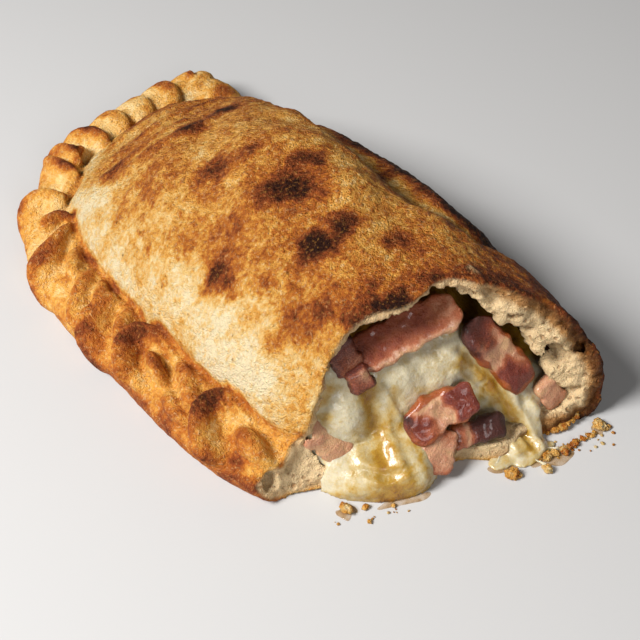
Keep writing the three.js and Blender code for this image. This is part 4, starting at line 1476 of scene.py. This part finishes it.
FULL_RIM = 0.9  # how browned the rim of a strip is, unless the next table says otherwise
RIM = {"bacon_rasher": 0.25, "bacon_pale_tail": 0.4, "bacon_pink_left": 0.15, "bacon_pink_right": 0.1}
print(f"{len(BACON)} strips of bacon, {len(PATCHES)} patches on them")

# %% [markdown]
# ## The shape of a strip
# The rings run from one end of the strip to the other. Each is a flat section with round corners, a
# little wider or narrower than the last one, and the whole strip curls up at its ends.

# %% Rings of a strip
def strip_rings(seed, start, end, size, tip, bend, steps=80, sides=60):
    """Rings between two places in the cut's frame, and the direction across the strip."""
    length = np.linalg.norm(end - start) / 2
    lengthways = (end - start) / (2 * length)
    tip = math.radians(tip)
    across = np.cross([0, -math.cos(tip), math.sin(tip)], lengthways)
    across /= np.linalg.norm(across)
    faceways = np.cross(lengthways, across)
    share = np.linspace(-0.985, 0.985, steps)[:, None]
    turn = np.arange(sides)[None, :] / sides * 2 * np.pi
    close = (1 - np.abs(share) ** 4) ** (1 / 4)
    ruffle = 1 + 0.07 * np.sin(share * 5 + seed * 2.1 + turn) + 0.05 * np.sin(share * 11 + seed)
    ruffle = ruffle + 0.045 * np.sin(share * 19 + seed * 3 + 2 * turn)
    curl = bend * (share**2 - 0.4)
    wide = power(np.cos(turn), 0.4) * size[0] / 2 * close * ruffle
    thick = power(np.sin(turn), 0.4) * 0.8 * size[1] / 2 * close**2 + curl
    middle = (start + end) / 2
    place = middle + share[..., None] * length * lengthways
    place = place + wide[..., None] * across + thick[..., None] * faceways
    return from_cut(place[..., 0], place[..., 1], place[..., 2]), across


# %% [markdown]
# ## The bacon's finish
# Three numbers on the mesh say how lean the meat is, how seared it is and how near its rim a point
# lies. The material goes from fat to lean meat along the first, reddens the rim with the third and
# darkens what was seared. A fibre grain breaks up each band, and a thin coat gives the wet shine of hot
# fat. One material serves all nine strips, because the numbers carry the differences.

# %% Bacon material
MEAT_TONES = [(0.05, "#cfa274"), (0.3, "#c68c6a"), (0.5, "#aa5e38"), (0.8, "#8a3c22"), (1.0, "#702616")]
SEARED_TONES = [(0.3, "#8c3a16"), (0.6, "#601f0b"), (1.0, "#320d04")]
RIM_TONE = "#9a4a14"


def make_bacon_material():
    made, tree, shader = new_material("bacon")
    meat, fibre = grain_node(tree, 2.4, 5.0, 0.65)
    lean = maths(tree, "ADD", mask(tree, "lean"), maths(tree, "MULTIPLY_ADD", meat, 0.8, -0.4))
    rim = maths(tree, "ADD", mask(tree, "rim"), maths(tree, "MULTIPLY_ADD", meat, 1.0, -0.5))
    flesh = ramp_node(tree, lean, MEAT_TONES)
    flesh = mixed(tree, node_range(tree, rim, 0.15, 0.6), flesh, colour(RIM_TONE))
    heat = maths(tree, "ADD", mask(tree, "seared"), maths(tree, "MULTIPLY_ADD", fibre, 0.7, -0.35))
    seared = ramp_node(tree, heat, SEARED_TONES)
    tone = mixed(tree, node_range(tree, heat, 0.25, 0.75), flesh, seared)
    tree.links.new(tone, shader.inputs["Base Color"])
    rough = maths(tree, "MULTIPLY_ADD", fibre, 0.4, 0.12)
    rough = maths(tree, "ADD", rough, maths(tree, "MULTIPLY", heat, 0.18))
    tree.links.new(rough, shader.inputs["Roughness"])
    height = maths(tree, "ADD", meat, maths(tree, "MULTIPLY", fibre, 0.5))
    bump = node(tree, "ShaderNodeBump", Strength=0.85, Distance=0.001, Height=height)
    tree.links.new(bump.outputs[0], shader.inputs["Normal"])
    shader.inputs["Coat Weight"].default_value = 0.34
    shader.inputs["Coat Roughness"].default_value = 0.13
    shader.inputs["Subsurface Weight"].default_value = 0.15
    shader.inputs["Subsurface Scale"].default_value = 0.0015
    shader.inputs["Subsurface Radius"].default_value = (1.0, 0.4, 0.25)
    return made


bacon_material = make_bacon_material()

# %% [markdown]
# ## Making the strips
# Each strip is a solid from its rings, with lumps pushed out of it, cut off where it would reach into
# the dough. Then every point is told how lean and how seared it is, from its place along the strip
# and across it. Both are shifted with noise, as no band in real meat is straight.

# %% Make the strips
BACON_SKIN = 0.45  # size of the squares in the skin, in millimetres


def make_strip(name, seed, rings):
    """A closed, lumpy strip that stays inside the room for the filling."""
    strip = remesh(solid_from_rings(name + "_strip", rings), BACON_SKIN)
    points = mesh_points(strip)
    lumps = (0.4 if name in SMOOTH else 1.0) * ripple(points, 7, 2, seed)
    lumps += 0.3 * ripple(points, 2.4, 2, seed + 60)
    points = points + mesh_normals(strip) * lumps[:, None]
    points[:, 2] = np.maximum(points[:, 2], 0.1)
    move_points(strip, points)
    combine(strip, room, "INTERSECT", keep_tool=True)
    return remesh(strip, BACON_SKIN)


def cook_strip(strip, name, seed, start, end, width, across):
    """Keeps how lean, how seared and how near the rim each point of a strip is."""
    points = mesh_points(strip)
    places = np.stack(to_cut(points), -1)
    run = end - start
    share = (places - start) @ run / (run @ run) * 2 - 1 + 0.14 * ripple(points, 4, 2, seed + 70)
    side = (places - (start + end) / 2) @ across / (width / 2) + 0.2 * ripple(points, 4, 2, seed + 80)
    along_strip, lean_there, seared_there = BANDS[name]
    lean = np.interp(share, along_strip, lean_there)
    seared = np.interp(share, along_strip, seared_there)
    for strip_name, a, c, reach_a, reach_c, patch_lean, patch_seared in PATCHES:
        if strip_name == name:
            t = np.exp(-(((share - a) / reach_a) ** 2 + ((side - c) / reach_c) ** 2))
            lean, seared = mix(lean, patch_lean, t), mix(seared, patch_seared, t)
    edge = np.maximum(ramp(0.7, 1.0, np.abs(side)), ramp(0.78, 1.0, np.abs(share)))
    store(strip, "lean", lean)
    store(strip, "seared", seared + 0.15 * edge)
    store(strip, "rim", edge * RIM.get(name, FULL_RIM))


for seed, (name, start, end, size, tip, bend) in enumerate(BACON):
    start, end = np.array(start, float), np.array(end, float)
    rings, across = strip_rings(seed, start, end, size, tip, bend)
    strip = make_strip(name, seed, rings)
    cook_strip(strip, name, seed, start, end, size[0], across)
    strip.data.shade_smooth()
    dress(strip, bacon_material)
    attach(strip, "root")
    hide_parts(name)
    print(f"{name}: {len(strip.data.vertices)} points")
bpy.data.objects.remove(room)

# %% [markdown]
# ## Strings of cheese
# Where bread and cheese were pulled apart, thin strings were left. Each is a tube along a line that
# sags a little, thin in the middle and wider where it holds on.

# %% Cheese strings
STRINGS = [  # from and to, along the cut, inward and height, then thickness and sag
    ((73.8, 13.8, 32.5), (74.6, 13.2, 26.0), 0.5, 0.0),
    ((65, -2.5, 3.2), (58.5, -7.5, 0.3), 0.6, 0.3),
    ((68, -6, 1.4), (72, -12.5, 0.6), 0.6, 0.2),
    ((71, -5, 1.6), (78, -8.0, 0.6), 0.8, 0.1),
]


def string_rings(start, end, thickness, sag, seed):
    """A tube that hangs between two places and is thinnest halfway."""
    share = np.linspace(0.01, 0.99, 24)[:, None]
    turn = np.arange(10)[None, :] / 10 * 2 * np.pi
    start, end = np.array(start, float), np.array(end, float)
    middle = start + (end - start) * share
    middle[:, 2] -= sag * 4 * share[:, 0] * (1 - share[:, 0])
    middle[:, 0] += 0.4 * np.sin(share[:, 0] * 7 + seed)
    hold = 0.45 + 1.4 * np.abs(share - 0.5) ** 2 * 4
    close = np.sqrt(1 - (2 * share - 1) ** 10)
    reach = thickness * hold * close
    z = np.maximum(0.05, middle[:, 2:] + reach * np.sin(turn))
    return from_cut(middle[:, :1] + reach * np.cos(turn), middle[:, 1:2] + 0 * turn, z)


def joined(name, pieces):
    """One piece from several, each kept closed."""
    shell = bmesh.new()
    for piece in pieces:
        shell.from_mesh(piece.data)
        bpy.data.objects.remove(piece)
    whole = piece_from(shell, name)
    whole.data.shade_smooth()
    return whole


tubes = [solid_from_rings(f"string_{i}", string_rings(*s, i)) for i, s in enumerate(STRINGS)]
strings = joined("cheese_strings", tubes)
dress(strings, cheese_material)
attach(strings, "root")

# %% [markdown]
# ## Crumbs
# The knife tore crumbs from the brown underside of the bread. A dozen of them are listed one by one.
# Two lines of crumbs make a ragged fringe along the lower right edge and a golden trail stuck
# in cheese, and a seeded draw strews the smallest. Each is a ball broken up with noise.

# %% Bread crumbs
CRUMBS = [  # along the cut, inward, height, radius, brownness
    (92.9, -3.6, 1.2, 2.3, 0.3),
    (94.8, -4.6, 0.6, 1.2, 0.35),
    (71.9, -13.6, 1.0, 2.0, 0.2),
    (61.7, -12.3, 0.8, 2.1, 0.36),
    (63.4, -12.9, 0.5, 1.2, 0.36),
    (13.8, -9.4, 1.1, 2.2, 0.3),
    (19.1, -10.2, 0.5, 1.1, 0.32),
    (26.6, -12.0, 0.4, 0.8, 0.3),
    (18.6, -15.0, 0.5, 0.9, 0.28),
    (24.5, -13.6, 0.3, 0.45, 0.2),
    (88.5, -10.0, 0.3, 0.6, 0.15),
    (91.0, -9.5, 0.3, 0.6, 0.15),
]
FRINGE = [(78, -1.8, 0.8), (84, -0.6, 1.4), (87.5, 1.4, 2.2), (90.5, 4.2, 5), (92.2, 6.6, 10)]
TRAIL = [(71, -9.4, 0.4), (77, -8.8, 0.5), (84, -7.4, 0.5), (90, -5.4, 0.4)]
CRUMB_LINES = [  # how many, how far they stray, smallest and largest radius, and the line
    (34, 0.5, 0.6, 1.7, FRINGE),
    (34, 1.0, 0.4, 1.6, TRAIL),
]
STREWN = [  # how many, then from and to along the cut and inwards
    (26, 70, 96, -11, -4),
    (8, 8, 32, -16, -12),
]


def crumb_ball(name, along, inward, height, radius, brown, seed):
    """One crumb, and how brown each of its points is."""
    middle = from_cut(along, inward, max(height, 0.55 * radius))
    shell = bmesh.new()
    fine = 4 if radius > 1.5 else 3
    bmesh.ops.create_icosphere(shell, subdivisions=fine, radius=1)
    points = np.array([v.co[:] for v in shell.verts])
    stretch = 1 + 0.25 * np.sin([seed * 2.3, seed * 3.1, seed * 4.7])
    rough = 0.4 * ripple(points, 0.9, 3, seed) + 0.15 * ripple(points, 0.3, 2, seed + 9)
    points = middle + 0.85 * radius * (points * stretch) * (1 + rough[:, None]) * (1, 1, 0.7)
    points[:, 2] = np.maximum(points[:, 2], 0.02)
    for vertex, place in zip(shell.verts, to_part(points).tolist()):
        vertex.co = place
    return piece_from(shell, name), brown + 0.25 * rough


# %% [markdown]
# The draws come in a fixed order from one seeded source, so each run strews the same crumbs. All of
# them are joined into one piece, which wears the crust's own material.

# %% Strew the crumbs
crumb_places = list(CRUMBS)
for count, stray, small, large, line in CRUMB_LINES:
    for share in np.linspace(0, len(line) - 1, count):
        at = [np.interp(share, np.arange(len(line)), [p[k] for p in line]) for k in range(3)]
        at = at + dice.uniform(-stray, stray, 3) * (1, 1, 0.3)
        crumb_places.append((*at, mix(small, large, dice.uniform() ** 2), dice.uniform(0.25, 0.5)))
for count, low, high, near, far in STREWN:
    for _ in range(count):
        place = (dice.uniform(low, high), dice.uniform(near, far), 0.2)
        crumb_places.append((*place, dice.uniform(0.2, 0.55), dice.uniform(0.2, 0.5)))
crumb_balls, crumb_bakes = zip(*[crumb_ball(f"crumb_{i}", *p, i) for i, p in enumerate(crumb_places)])
crumbs = joined("bread_crumbs", crumb_balls)
store(crumbs, "bake", np.concatenate(crumb_bakes))
dress(crumbs, crust_material)
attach(crumbs, "root")
print(f"{len(crumb_places)} crumbs, {len(crumbs.data.vertices)} points")

# %% [markdown]
# ## A film of oil
# Thin oil has crept out from under the cheese and lies on the table in flat, shiny patches, a third
# of a millimetre thick. Each patch is a very flat ball with a wandering outline.

# %% Oil film
PATCHES_OF_OIL = [  # along the cut, inward, reach along, reach inward
    (62, -8.5, 6.0, 1.8),
    (75, -10.0, 7.0, 2.4),
    (13.8, -9.8, 3.0, 2.2),
    (30, -11.0, 8.0, 1.5),
    (93, -4.0, 2.6, 1.8),
]


def oil_patch(name, along, inward, reach_along, reach_inward, seed):
    """A patch 0.3 mm thick, just clear of the table."""
    share = np.linspace(-0.995, 0.995, 60)[:, None]
    turn = np.arange(24)[None, :] / 24 * 2 * np.pi
    wide = np.sqrt(1 - share**2) * (1 + 0.2 * np.sin(share * 5 + seed))
    a = along + reach_along * share + 0 * turn
    i = inward + reach_inward * wide * np.cos(turn) + 0.5 * np.sin(share * 4 + seed * 3)
    z = 0.03 + 0.3 * np.sqrt(1 - share**2) * np.maximum(0, np.sin(turn))
    return solid_from_rings(name, from_cut(a, i, z))


def make_oil_material():
    made, tree, shader = new_material("oil")
    cloud, _ = grain_node(tree, 3.0)
    tone = ramp_node(tree, cloud, [(0.35, "#c79a4a"), (0.65, "#a87a2c")])
    tree.links.new(tone, shader.inputs["Base Color"])
    tree.links.new(maths(tree, "MULTIPLY_ADD", cloud, 0.8, -0.12), shader.inputs["Alpha"])
    shader.inputs["Roughness"].default_value = 0.08
    return made


film = joined("oil_film", [oil_patch(f"oil_{i}", *p, i) for i, p in enumerate(PATCHES_OF_OIL)])
dress(film, make_oil_material())
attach(film, "root")

# %% [markdown]
# ## Studio
# A large soft light from behind on the left draws long gentle shadows, as a window would, and a small
# one in front lifts the cut and puts glints on the cheese. The floor is plain and pale. The camera
# looks down at 45 degrees through a long lens, which keeps the loaf's proportions true.

# %% Floor, light and camera
FLOOR_REACH = 3.0  # metres from the middle to each side
FLOOR_GREY = (0.55, 0.54, 0.53, 1)
SKY = 0.08
LIGHTS = [  # name, place and width in metres, watts
    ("key", (-0.68, 0.12, 0.7), 0.4, 15.5),
    ("fill", (-0.35, -0.8, 0.5), 0.35, 2.2),
]
CAMERA_PLACE = (-177.717, -211.795, 276.479)  # in the loaf's frame, in millimetres
CAMERA_LENS = 70


def make_floor():
    corners = [(-1, -1), (1, -1), (1, 1), (-1, 1)]
    mesh = bpy.data.meshes.new("floor")
    mesh.from_pydata([(x * FLOOR_REACH, y * FLOOR_REACH, 0) for x, y in corners], [], [(0, 1, 2, 3)])
    made, _, shader = new_material("floor")
    shader.inputs["Base Color"].default_value = FLOOR_GREY
    shader.inputs["Roughness"].default_value = 0.8
    mesh.materials.append(made)
    return add_piece("floor", mesh)


def softbox(name, place, width, watts):
    light = bpy.data.lights.new(name, "AREA")
    light.shape = "DISK"
    light.size = width
    light.energy = watts
    lamp = add_piece(name, light)
    lamp.location = place
    lamp.rotation_euler = (-Vector(place)).to_track_quat("-Z", "Y").to_euler()


def make_camera():
    camera = add_piece("camera", bpy.data.cameras.new("camera"))
    camera.data.lens = CAMERA_LENS
    camera.data.clip_start = 0.01
    camera.location = to_part([CAMERA_PLACE])[0]
    aim = Vector(to_part([(0, 0, 0)])[0]) - camera.location
    camera.rotation_euler = aim.to_track_quat("-Z", "Y").to_euler()
    return camera


make_floor()
for lamp in LIGHTS:
    softbox(*lamp)
bpy.context.scene.camera = make_camera()
world = bpy.data.worlds.new("studio")
bpy.context.scene.world = world
world.use_nodes = True
background = world.node_tree.nodes["Background"]
background.inputs["Color"].default_value = (1, 1, 1, 1)
background.inputs["Strength"].default_value = SKY
bpy.context.scene.view_settings.view_transform = "Standard"
